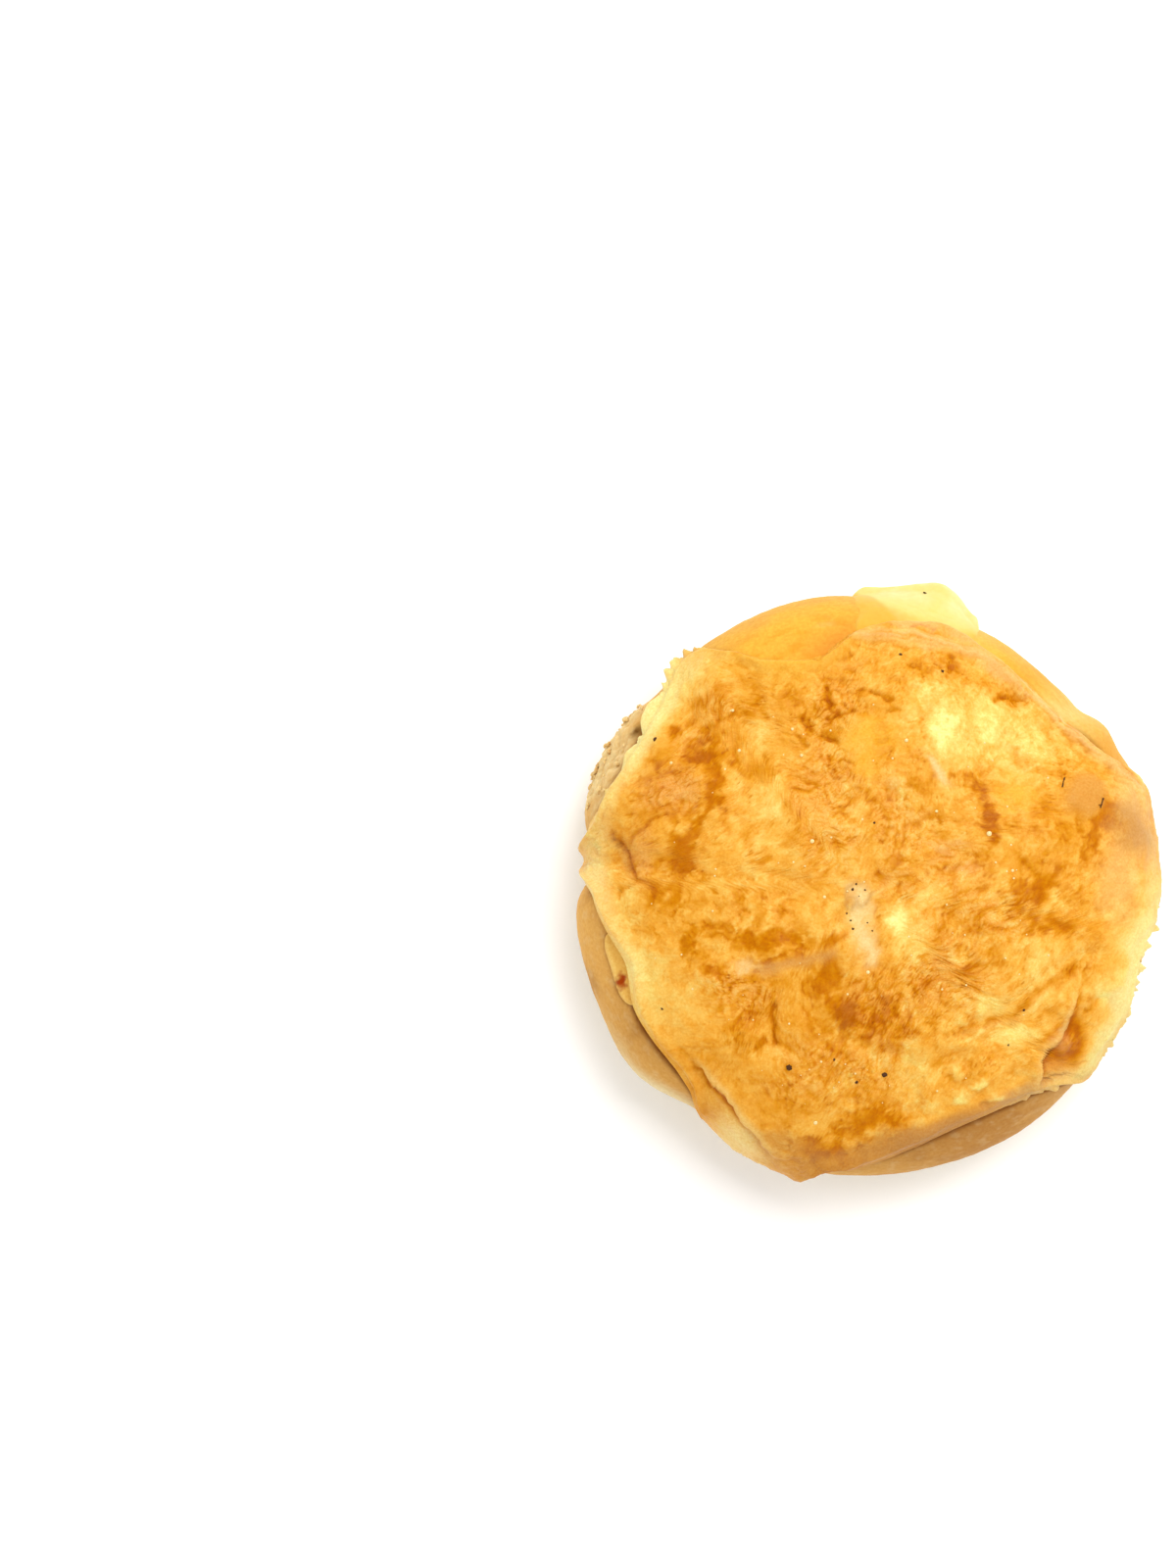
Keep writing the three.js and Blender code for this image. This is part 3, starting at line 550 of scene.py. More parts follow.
# Reach of the painted shade beside the blanket's upper edge.
BLANKET_EDGE_SHADE_REACH = 5
TEAR_UNEVENNESS = 0.3
TEAR_FADE = (0.15, 0.9)
FINE_PORE_FLOOR = 0.1  # how much shallower fine pores are
PORE_SHADE_FADE = (0, 0.3)
PORE_SLOPE = (0, 0.4)
PORE_DEPTH = 0.7
CRUMB_RISE = 0.25
CRUST_RISE = 0.1
FINE_CRUST_RISE = 0.03
FLAT_FOOT = 0.3  # angle at the foot over which the relief ends
# Painted shade of a hollow under a torn edge: direction and phi, and the spread of each.
CRUMB_HOLLOW = (145.5, 1.2, 1.6, 0.055)
# Shade under the blanket's edge: strength and reach of its sharp part and of its soft part.
EDGE_SHADE = 0.7
EDGE_SHADE_REACH = (0.8, 2.6)
SOFT_SHADE = 0.25
SOFT_SHADE_REACH = 6
LESS_SHADED = 0.6  # shares of the shade that are lost, in one stretch and where the bread is torn
SHADE_LOST_TORN = 0.8
LOBE_SHADE_REACH = 0.7

# Lobe: a thin flap of cheese that slid out from under the blanket's edge.
LOBE_FROM = 190
LOBE_TO = 207
LOBE_TUCK = 5
LOBE_REACH = 8
LOBE_THICKNESS = 0.8
LOBE_SUNK = 0.2
LOBE_STEPS = (60, 30)
LOBE_HOLLOW = (-45.3, -17.4, 1.1, 1.87)  # burnt hollow: x, y, half width, half height
LOBE_HOLLOW_FADE = (0.4, 1.2)
LOBE_HOLLOW_DEPTH = 0.3
LOBE_RIM_AT = 0.86
LOBE_RIM_WIDTH = 0.1
LOBE_RIM_SHARE = 0.9
LOBE_THIN = 0.55  # thickness inside the rim, as a share

# Colours as they look in full light, as red, green and blue out of 255. Rims that are turned from the light
# have more than 255: they are painted brighter to make up for their shade.
BROWNING = [
    (0, (254, 245, 150)), (0.15, (253, 226, 125)), (0.31, (253, 205, 102)), (0.46, (251, 185, 76)),
    (0.61, (242, 166, 54)), (0.77, (227, 146, 26)), (0.92, (211, 124, 6)), (1.08, (195, 106, 2)),
    (1.3, (165, 84, 6)),
]
BROWNEST = 1.12  # the most browning that is seen
PINK = (243, 171, 94)
FILM = (251, 216, 146)
FILM_TAN = (228, 168, 92)
FILM_EDGE = (205, 150, 86)
RUN_YELLOW = (246, 230, 154)
RUN_DEEP = (248, 220, 118)
RUN_GOLD = (250, 204, 96)
HONEY = (255, 190, 48)
# Tan of the rims, laid as painted shade where they turn down out of the light.
RIM_TAN_AND_SHADE = (198, 141, 76)
# Painted highlight along the lips; it also colours a light streak on the crust.
LIP_LIGHT = (255, 214, 128)
# Warm gold painted into the shade of the hanging sides, to stand in for the warm light that cheese scatters
# there.
WARMED_SHADE_GOLD = (255, 188, 88)
# Pale rims and torn cream, painted brighter than full light as painted light on rims that lie in shade.
PALE_RIM_BRIGHTENED = (264, 230, 154)
FLANGE_CREAM_BRIGHTENED = (258, 236, 160)
# Pinkish cream of the ridge and of the cream patches, with a painted highlight on the ridge.
RIDGE_PINK_AND_HIGHLIGHT = (249, 197, 124)
BLISTER_TAN = (220, 154, 76)
CRUST_GOLD = (250, 187, 68)
CRUST_AMBER = (240, 160, 35)
CRUST_TAN = (242, 182, 94)
CRUST_BROWN_AND_SHADE = (200, 142, 72)
# Painted shade on the crust and on the run's film beside the blanket's upper edge.
CRUST_BLANKET_SHADE = (236, 150, 56)
CRUST_CREAM = (246, 220, 164)
CRUST_SHADE = (128, 68, 18)
CRUMB_CREAM = (255, 221, 154)
CRUMB_SHADE = (240, 190, 114)
# Painted shade of the hollow under the left torn edge.
CRUMB_HOLLOW_SHADE = (120, 78, 26)
LOBE_TAN = (240, 182, 84)
LOBE_RIM = (252, 206, 112)
BURNT_RED = (176, 70, 10)
SPECK_BROWN = (84, 48, 16)
BEAD_GOLD = (255, 226, 150)
VEIL = 0.004  # light that the gloss of a surface adds to its colour
LIGHT_LEVEL = 1.45  # light that a level white surface sends back, with 1 shown as full white

# Stains laid over the plain colours in turn: colour, mark and share.
CHEESE_STAINS = [
    (PINK, "crests", 0.35), (PINK, "blush", 0.7), (BLISTER_TAN, "blister", 0.65), (RIDGE_PINK_AND_HIGHLIGHT, "rosy_and_highlit", 1),
    (RIM_TAN_AND_SHADE, "tan_and_shade", 0.8), (LIP_LIGHT, "lip_light", 0.6), (HONEY, "honey", 0.4), (RIM_TAN_AND_SHADE, "turned", 0.75),
    (PALE_RIM_BRIGHTENED, "pale_rim", 0.65), (FLANGE_CREAM_BRIGHTENED, "torn_edge", 0.55), (CRUST_GOLD, "joined", 0.75),
    (FILM, "film", 0.9), (FILM_TAN, "tan_film", 0.9), (WARMED_SHADE_GOLD, "warmed_shade", 0.5),
    (FLANGE_CREAM_BRIGHTENED, "teeth", 0.7), (FILM_EDGE, "ring", 0.6),
]
BREAD_STAINS = [
    (CRUST_BROWN_AND_SHADE, "browned_and_shaded", 1), (CRUST_BROWN_AND_SHADE, "lobe_crease_shade", 0.8), (CRUST_CREAM, "flecked", 0.18),
    (CRUST_CREAM, "foot", 1), (CRUST_CREAM, "cream_foot", 1), (CRUST_CREAM, "cream_side", 0.25),
    (CRUST_GOLD, "golden", 1), (CRUST_AMBER, "golden_streaks", 0.6), (RUN_GOLD, "glowing", 0.5),
    (LIP_LIGHT, "light", 0.9), (CRUST_AMBER, "amber", 1), (RUN_GOLD, "film", 0.9),
    (RUN_DEEP, "deep_film", 0.8), (CRUST_TAN, "tan_and_shaded_edge", 0.6), (CRUST_BLANKET_SHADE, "blanket_edge_shade", 0.8),
    (CRUMB_CREAM, "torn", 1), (CRUMB_SHADE, "pore_shade", 1), (CRUST_SHADE, "shaded", 1),
    (CRUST_SHADE, "lobe_shade", 0.6), (CRUMB_HOLLOW_SHADE, "hollow", 1),
]
RUN_STAINS = [
    (RUN_DEEP, "blush", 0.6), (RUN_DEEP, "top", 1), (RUN_GOLD, "film", 1), (CRUST_GOLD, "film_end", 0.8),
    (CRUST_BLANKET_SHADE, "blanket_edge_shade", 0.5), (CRUST_GOLD, "crust", 0.9),
]
# Where the run's stains show: noise as size and seed, a stretch as direction and spread, and fades.
BLUSH_NOISE = (6, 195)
BLUSH_FADE = (-0.2, 0.6)
BLUSH_IN_FILM = 0.3
TOP_FADE = (0.82, 1)
FILM_FADE = (0.2, 1)
FILM_END_FADE = (0.3, 0.95)
# The run film's painted shade beside the blanket's edge: direction and spread, then its fade.
FILM_BLANKET_SHADE = (87, 5)
FILM_BLANKET_SHADE_FADE = (0.1, 0.7)

# Looks of the foods: sizes in millimetres, grain as shares of the colour, veins as size, width and strength.
GRAIN_DETAIL = 4
GRAIN_RANGE = (0.3, 0.7)
BUMP_DETAIL = 3
VEIN_DETAIL = 2
VEIN_DISTORTION = 1.4
VEIN_DEPTH = 0.4
COLOUR_MIX_INPUTS = (0, 6, 7)  # a mix node's sockets for its share and its two colours
COLOUR_MIX_OUTPUT = 2
FOOD_SPECULAR = 0.03
OIL_ROUGHNESS = 0.25
OIL_IOR = 1.3
GLOW_COLOUR = (1, 0.5, 0.2)
VEIN_STAIN = (0.92, 0.72, 0.22)
BREAD_LOOK = {
    "grain": 0.7, "dark_grain": (0.94, 0.89, 0.82), "light_grain": (1.06, 1.11, 1.18), "veins": [],
    "bump_size": 0.5, "bump_depth": 0.06, "dull": 0.62, "shiny": 0.4, "oil": 0,
    "glow": 0.1, "glow_reach": 1.5,
}
CHEESE_LOOK = {
    "grain": 0.45, "dark_grain": (0.95, 0.88, 0.76), "light_grain": (1.05, 1.12, 1.24),
    "veins": [(3, 0.04, 0.7), (1.5, 0.05, 0.6)],
    "bump_size": 0.45, "bump_depth": 0.06, "dull": 0.42, "shiny": 0.34, "oil": 0.05,
    "glow": 0.06, "glow_reach": 1,
}
RUN_LOOK = {
    "grain": 1.2, "dark_grain": (0.97, 0.96, 0.9), "light_grain": (1.03, 1.04, 1.1), "veins": [],
    "bump_size": 0.8, "bump_depth": 0.03, "dull": 0.42, "shiny": 0.3, "oil": 0.2,
    "glow": 0.3, "glow_reach": 2.5,
}
# Looks of the plain things: roughness, then specular level.
SPECK_LOOK = (0.6, 0.2)
BEAD_LOOK = (0.12, 0.6)
FLOOR_LOOK = (0.6, 0.2)
FLOOR_WHITE = (0.97, 0.97, 0.97)
FLOOR_SIZE = 6  # metres

# Camera and light.
PIXELS_PER_MM = 5.4
IMAGE_SIZE = (1200, 1600)
ROLL_AT = (880, 905)  # pixel of the roll's axis in the image
CAMERA_HEIGHT = 2000  # above the waist
SENSOR = 36
SKY_AT_HORIZON = 1.75
SKY_OVERHEAD = 0.55
SOFTBOX_SIZE = 0.7
SOFTBOX_POWER = 13
SOFTBOX_AT = (0.3, 0.45, 1.2)


def smoothstep(value, low, high):
    t = np.clip((value - low) / (high - low), 0, 1)
    return t * t * (3 - 2 * t)


def fading(value, low, high):
    """1 below low and 0 above high."""
    return 1 - smoothstep(value, low, high)


def lerp(start, end, t):
    return start + (end - start) * t


def hump(value, width):
    """1 where a value is 0, falling away over a width to each side."""
    return np.exp(-((value / width) ** 2))


def bell(degrees, at, spread):
    """1 in one direction, falling away over a spread to each side."""
    return hump((degrees - at + 180) % 360 - 180, spread)


def arch(value, half):
    """1 where a value is 0, falling to 0 at a half width to each side, as half an ellipse does."""
    return np.sqrt(np.maximum(1 - (value / half) ** 2, 0))


def sum_of_bells(degrees, bells):
    return sum(amount * bell(degrees, at, spread) for at, spread, amount in bells)


def lattice_value(i, j, seed):
    """A repeatable number from 0 to 1 for each whole-numbered point."""
    by_i, by_j, by_seed, scale = LATTICE
    mixed = np.sin(i * by_i + j * by_j + seed * by_seed) * scale
    return mixed - np.floor(mixed)


def soft_noise(x, y, seed):
    """Smooth noise from -1 to 1 that changes over about one unit."""
    i, j = np.floor(x), np.floor(y)
    u, v = smoothstep(x - i, 0, 1), smoothstep(y - j, 0, 1)
    near = lerp(lattice_value(i, j, seed), lattice_value(i + 1, j, seed), u)
    far = lerp(lattice_value(i, j + 1, seed), lattice_value(i + 1, j + 1, seed), u)
    return 2 * lerp(near, far, v) - 1


def slope_noise(x, y, seed):
    """Noise from about -1 to 1 with no square look, from a random slope at each whole-numbered point."""
    i, j = np.floor(x), np.floor(y)
    u, v = x - i, y - j

    def corner(di, dj):
        turn = 2 * np.pi * lattice_value(i + di, j + dj, seed)
        return np.cos(turn) * (u - di) + np.sin(turn) * (v - dj)

    fade_u = u**3 * (u * (6 * u - 15) + 10)
    fade_v = v**3 * (v * (6 * v - 15) + 10)
    near = lerp(corner(0, 0), corner(1, 0), fade_u)
    far = lerp(corner(0, 1), corner(1, 1), fade_u)
    return SLOPE_NOISE_SCALE * lerp(near, far, fade_v)


def rough_noise(x, y, size, seed, octaves=3):
    """Slope noise of a size in millimetres with finer and weaker layers on top."""
    total = 0
    for k in range(octaves):
        total = total + slope_noise(x * 2**k / size, y * 2**k / size, seed + LAYER_SEED_STEP * k) / 2**k
    return total


def pushed(x, y, pushes):
    """Places pushed about by layers of noise, for uneven outlines."""
    for size, reach, seed, *octaves in pushes:
        aside = reach * rough_noise(x, y, size, seed, *octaves)
        up = reach * rough_noise(x, y, size, seed + PUSH_SEED_STEP, *octaves)
        x, y = x + aside, y + up
    return x, y


def round_curve(knots, degrees):
    """A closed smooth curve through (degrees, value) knots."""
    angles = np.array([angle + 360 * turn for turn in (-1, 0, 1) for angle, _ in knots])
    values = np.tile([value for _, value in knots], 3)
    angle = degrees % 360
    k = np.searchsorted(angles, angle, side="right") - 1
    a0, a1, a2, a3 = (angles[k + step] for step in (-1, 0, 1, 2))
    v0, v1, v2, v3 = (values[k + step] for step in (-1, 0, 1, 2))
    span = a2 - a1
    t = (angle - a1) / span
    leave = (v2 - v0) / (a2 - a0) * span
    arrive = (v3 - v1) / (a3 - a1) * span
    start = (2 * t**3 - 3 * t**2 + 1) * v1 + (t**3 - 2 * t**2 + t) * leave
    return start + (3 * t**2 - 2 * t**3) * v2 + (t**3 - t**2) * arrive


def waist_radius(degrees):
    return ROLL_DIAMETER / 2 + sum_of_bells(degrees, WAIST_SWELLS)


def bread_point(degrees, phi):
    """Points of the bread's skin, from the crown (phi 0) past the waist to the edge of the foot (phi 180)."""
    theta = np.radians(degrees)
    upper = np.minimum(phi, RIGHT_ANGLE)
    below = np.clip(phi - RIGHT_ANGLE, 0, RIGHT_ANGLE)
    foot_curve = np.maximum(np.cos(below), 0) ** (2 / FOOT_POWER)
    share = np.where(phi <= RIGHT_ANGLE, np.sin(upper) ** (2 / CROWN_POWER), lerp(FOOT_SHARE, 1, foot_curve))
    crown_z = WAIST_HEIGHT + (ROLL_HEIGHT - WAIST_HEIGHT) * np.cos(upper) ** (2 / CROWN_POWER)
    z = np.where(phi <= RIGHT_ANGLE, crown_z, WAIST_HEIGHT * (1 - np.sin(below) ** (2 / FOOT_POWER)))
    radius = waist_radius(degrees) * share
    x, y = radius * np.cos(theta), radius * np.sin(theta)
    lump = soft_noise(x / CROWN_LUMP_SIZE, y / CROWN_LUMP_SIZE, SEEDS["crown"])
    return np.stack([x, y, z + CROWN_LUMP * np.maximum(np.cos(phi), 0) * lump], axis=-1)


def outward(degrees):
    """The level direction away from the roll's axis."""
    theta = np.radians(degrees)
    return np.stack([np.cos(theta), np.sin(theta), 0 * theta], axis=-1)


def unit(vectors):
    return vectors / np.linalg.norm(vectors, axis=-1, keepdims=True)


def bread_normal(degrees, phi):
    """The bread's outward direction, from its slopes round and down."""
    middle = np.clip(phi, 2 * SLOPE_STEP, np.pi - 2 * SLOPE_STEP)
    turn = np.degrees(SLOPE_STEP)
    down = bread_point(degrees, middle + SLOPE_STEP) - bread_point(degrees, middle - SLOPE_STEP)
    around = bread_point(degrees + turn, middle) - bread_point(degrees - turn, middle)
    upright = fading(phi, 0, POLE_BLEND)
    return unit(lerp(unit(np.cross(down, around)), np.array([0, 0, 1]), upright[..., None]))


def torn_share(phi):
    return hump(phi - RIGHT_ANGLE, TORN_HEIGHT)


def crumb_depth(degrees, phi):
    """Coarse depth of the torn patches, as in the solid."""
    around = np.radians(degrees) * ROLL_DIAMETER / 2 / CRUMB_SIZE
    down = phi * ROLL_HEIGHT / 2 / CRUMB_SIZE
    rough = 0.5 + 0.5 * soft_noise(around, down, SEEDS["crumb"])
    return rough * torn_share(phi) * sum_of_bells(degrees, TORN_PATCHES)


def bread_shape(degrees, phi, fine):
    """Points of the bread with its torn patches, and with its finest relief."""
    depth = crumb_depth(degrees, phi) - fine
    return bread_point(degrees, phi) - bread_normal(degrees, phi) * depth[..., None]


def bread_length(phi):
    """Length along the bread's skin from the crown, for textures that don't stretch on the sides."""
    steps = np.linspace(0, np.pi, PROFILE_STEPS)
    profile = bread_point(0 * steps, steps)
    lengths = np.concatenate([[0], np.cumsum(np.linalg.norm(np.diff(profile, axis=0), axis=1))])
    return np.interp(phi, steps, lengths)


def from_stretch(x, y, start, end):
    """Distance from places to a straight stretch, how far along it they are, and which side they are on."""
    dx, dy = end[0] - start[0], end[1] - start[1]
    from_x, from_y = x - start[0], y - start[1]
    t = np.clip((from_x * dx + from_y * dy) / (dx * dx + dy * dy), 0, 1)
    return np.hypot(from_x - t * dx, from_y - t * dy), t, np.sign(dx * from_y - dy * from_x)


def line_distance(x, y, line):
    """Distance from places to a line of straight stretches."""
    return np.minimum.reduce([from_stretch(x, y, *ends)[0] for ends in zip(line, line[1:])])


def lip_side(x, y, line):
    """Distance from a line, positive on its left, and a share that fades out towards the line's ends."""
    lengths = [np.hypot(x1 - x0, y1 - y0) for (x0, y0), (x1, y1) in zip(line, line[1:])]
    nearest = np.full(np.shape(x), np.inf)
    side = np.zeros(np.shape(x))
    run = np.zeros(np.shape(x))
    for k, ends in enumerate(zip(line, line[1:])):
        away, t, hand = from_stretch(x, y, *ends)
        closer = away < nearest
        nearest = np.where(closer, away, nearest)
        side = np.where(closer, hand, side)
        run = np.where(closer, (sum(lengths[:k]) + t * lengths[k]) / sum(lengths), run)
    return side * nearest, 1 - (2 * run - 1) ** 4


def cheese_relief(x, y):
    """How far the blanket's face rises or falls: lumps, wrinkles, folds and hollows of the solid."""
    rise = SOFT_LUMP * soft_noise(x / SOFT_LUMP_SIZE, y / SOFT_LUMP_SIZE, SEEDS["lumps"])
    rise = rise + WRINKLE * soft_noise(x / WRINKLE_SIZE, y / WRINKLE_SIZE, SEEDS["wrinkles"])
    for line, width, depth in FOLDS:
        rise = rise - depth * hump(line_distance(x, y, line), width)
    for (at_x, at_y), radius, depth in HOLLOWS:
        rise = rise - depth * hump(np.hypot(x - at_x, y - at_y), radius)
    return rise


def torn_reach(degrees):
    teeth = soft_noise(degrees / TOOTH_STEP, 0 * degrees, SEEDS["teeth"])
    return round_curve(CHEESE_REACH, degrees) + teeth * sum_of_bells(degrees, RAGGED_EDGES)


def overhang(degrees):
    """How far the blanket hangs over the side: 0 where it ends on the crown, 1 where it passes the waist."""
    return smoothstep(round_curve(CHEESE_REACH, degrees) / waist_radius(degrees), DRAPE_FROM, DRAPE_FULL)


def cheese_end(degrees):
    """Phi at the blanket's edge, so that seen from above it has its reach."""
    share = np.minimum(round_curve(CHEESE_REACH, degrees) / waist_radius(degrees), CROWN_LIMIT)
    return np.arcsin(share ** (CROWN_POWER / 2)) + np.radians(DRAPE_ANGLE) * overhang(degrees)


def ledge_share(degrees, inset):
    """Where the blanket's ledge is, from its distance from the edge."""
    return sum_of_bells(degrees, LEDGES) * fading(inset, LEDGE_WIDTH, LEDGE_WIDTH + LEDGE_SLOPE)


def cheese_point(degrees, along, face, fine=0, fine_lip=0):
    """Points of the blanket. Along runs from its middle (0) to its edge (1), face is 0 below and 1 above.
    Fine is the finest relief of the upper face, and fine_lip that of the torn edge."""
    phi = cheese_end(degrees) * along
    hanging = overhang(degrees)
    place = bread_point(degrees, phi)
    rim = RIM_ROLL * (1 - hanging) * hump(along - RIM_AT, RIM_WIDTH)
    taper = lerp(1, EDGE_SHARE, smoothstep(along, RIM_AT, 1))
    relief = cheese_relief(place[..., 0], place[..., 1]) * fading(along, RELIEF_FADES_FROM, 1)
    ledge = ledge_share(degrees, round_curve(CHEESE_REACH, degrees) - np.hypot(place[..., 0], place[..., 1]))
    edge = CHEESE_THICKNESS * EDGE_SHARE
    thickness = np.maximum((CHEESE_THICKNESS + rim) * taper + relief - ledge, edge) + fine
    rise = CHEESE_GAP + face * thickness
    spare = torn_reach(degrees) - waist_radius(degrees) - CHEESE_GAP - edge
    lip = np.maximum(spare, 0) * hanging * smoothstep(along, LIP_FROM, 1)
    lip = lip + fine_lip * smoothstep(along, FINE_TOOTH_FROM, 1)
    return place + bread_normal(degrees, phi) * rise[..., None] + outward(degrees) * lip[..., None]


def square_to_disc(a, b):
    """Spreads a square of steps evenly over a disc: the share of its radius, and the direction."""
    wide = np.abs(a) > np.abs(b)
    safe_a = np.where(wide, a, 1)
    safe_b = np.where(wide | (b == 0), 1, b)
    degrees = np.where(wide, 45 * b / safe_a + 180 * (a < 0), 90 - 45 * a / safe_b + 180 * (b < 0))
    return np.maximum(np.abs(a), np.abs(b)), degrees


def spot_share(x, y, spots):
    """How much of a kind of patch is at each place, with soft edges."""
    total = np.zeros(np.shape(x))
    for at_x, at_y, long, wide, turn, strength in spots:
        angle = np.radians(turn)
        along = ((x - at_x) * np.cos(angle) + (y - at_y) * np.sin(angle)) / long
        across = ((y - at_y) * np.cos(angle) - (x - at_x) * np.sin(angle)) / wide
        total = np.maximum(total, strength * fading(np.hypot(along, across), *SPOT_FADE))
    return total


def sum_of_spots(x, y, spots):
    return sum(spot_share(x, y, [(*place, 1)]) * amount for *place, amount in spots)


def streak_share(x, y, streaks):
    total = np.zeros(np.shape(x))
    for line, width, strength in streaks:
        total = np.maximum(total, strength * hump(line_distance(x, y, line), width))
    return total


def crumpled(x, y):
    """Thin winding lines of a crumpled skin, 1 along their middle, with finer and weaker ones between."""
    total = 0
    for size, strength, line_seed, gap_seed in CRUMPLES:
        gap = CRUMPLE_GAP * size
        shown = smoothstep(slope_noise(x / gap, y / gap, gap_seed), *CRUMPLE_FADE)
        apart = slope_noise(x / size, y / size, line_seed)
        line = sum(share * hump(apart, width) for share, width in CRUMPLE_PROFILE)
        total = np.maximum(total, strength * shown * line)
    return total


def streaked(x, y, flow, width, length, seed):
    """Noise of a width in millimetres drawn out to a length along the flow, spread about 0 by about 1."""
    steps = np.linspace(-0.5, 0.5, FIBRE_SAMPLES) * length
    total = sum(slope_noise((x + flow[0] * s) / width, (y + flow[1] * s) / width, seed) for s in steps)
    return total / np.std(total)


def round_noise(degrees, down, size, seed):
    """Rough noise round the roll's side that meets itself where the turn closes."""
    theta = np.radians(degrees)
    radius = ROLL_DIAMETER / 2
    x, y = radius * np.cos(theta), radius * np.sin(theta)
    blend = smoothstep(np.abs(np.cos(theta)) - np.abs(np.sin(theta)), -ROUND_BLEND, ROUND_BLEND)
    seen_x = rough_noise(y + ROUND_SHIFT * (x > 0), down, size, seed)
    seen_y = rough_noise(x + ROUND_SHIFT * (y > 0), down, size, seed + ROUND_SEED_STEP)
    return lerp(seen_y, seen_x, blend)


def linear(colour):
    """A colour out of 255 as the share of light that a surface sends back to look so, by the sRGB curve."""
    shown = np.array(colour) / 255
    light = np.where(shown <= 0.04045, shown / 12.92, ((shown + 0.055) / 1.055) ** 2.4)
    return np.maximum(light - VEIL, 0) / LIGHT_LEVEL


def plain_tint(colour, shape):
    return np.broadcast_to(linear(colour), (*shape, 3))


def tinted(under, colour, share):
    return lerp(under, linear(colour), share[..., None])


def layered(tint, stains, marks):
    """A tint with stains laid over it in turn, each where its mark is."""
    for colour, mark, share in stains:
        tint = tinted(tint, colour, share * marks[mark])
    return tint


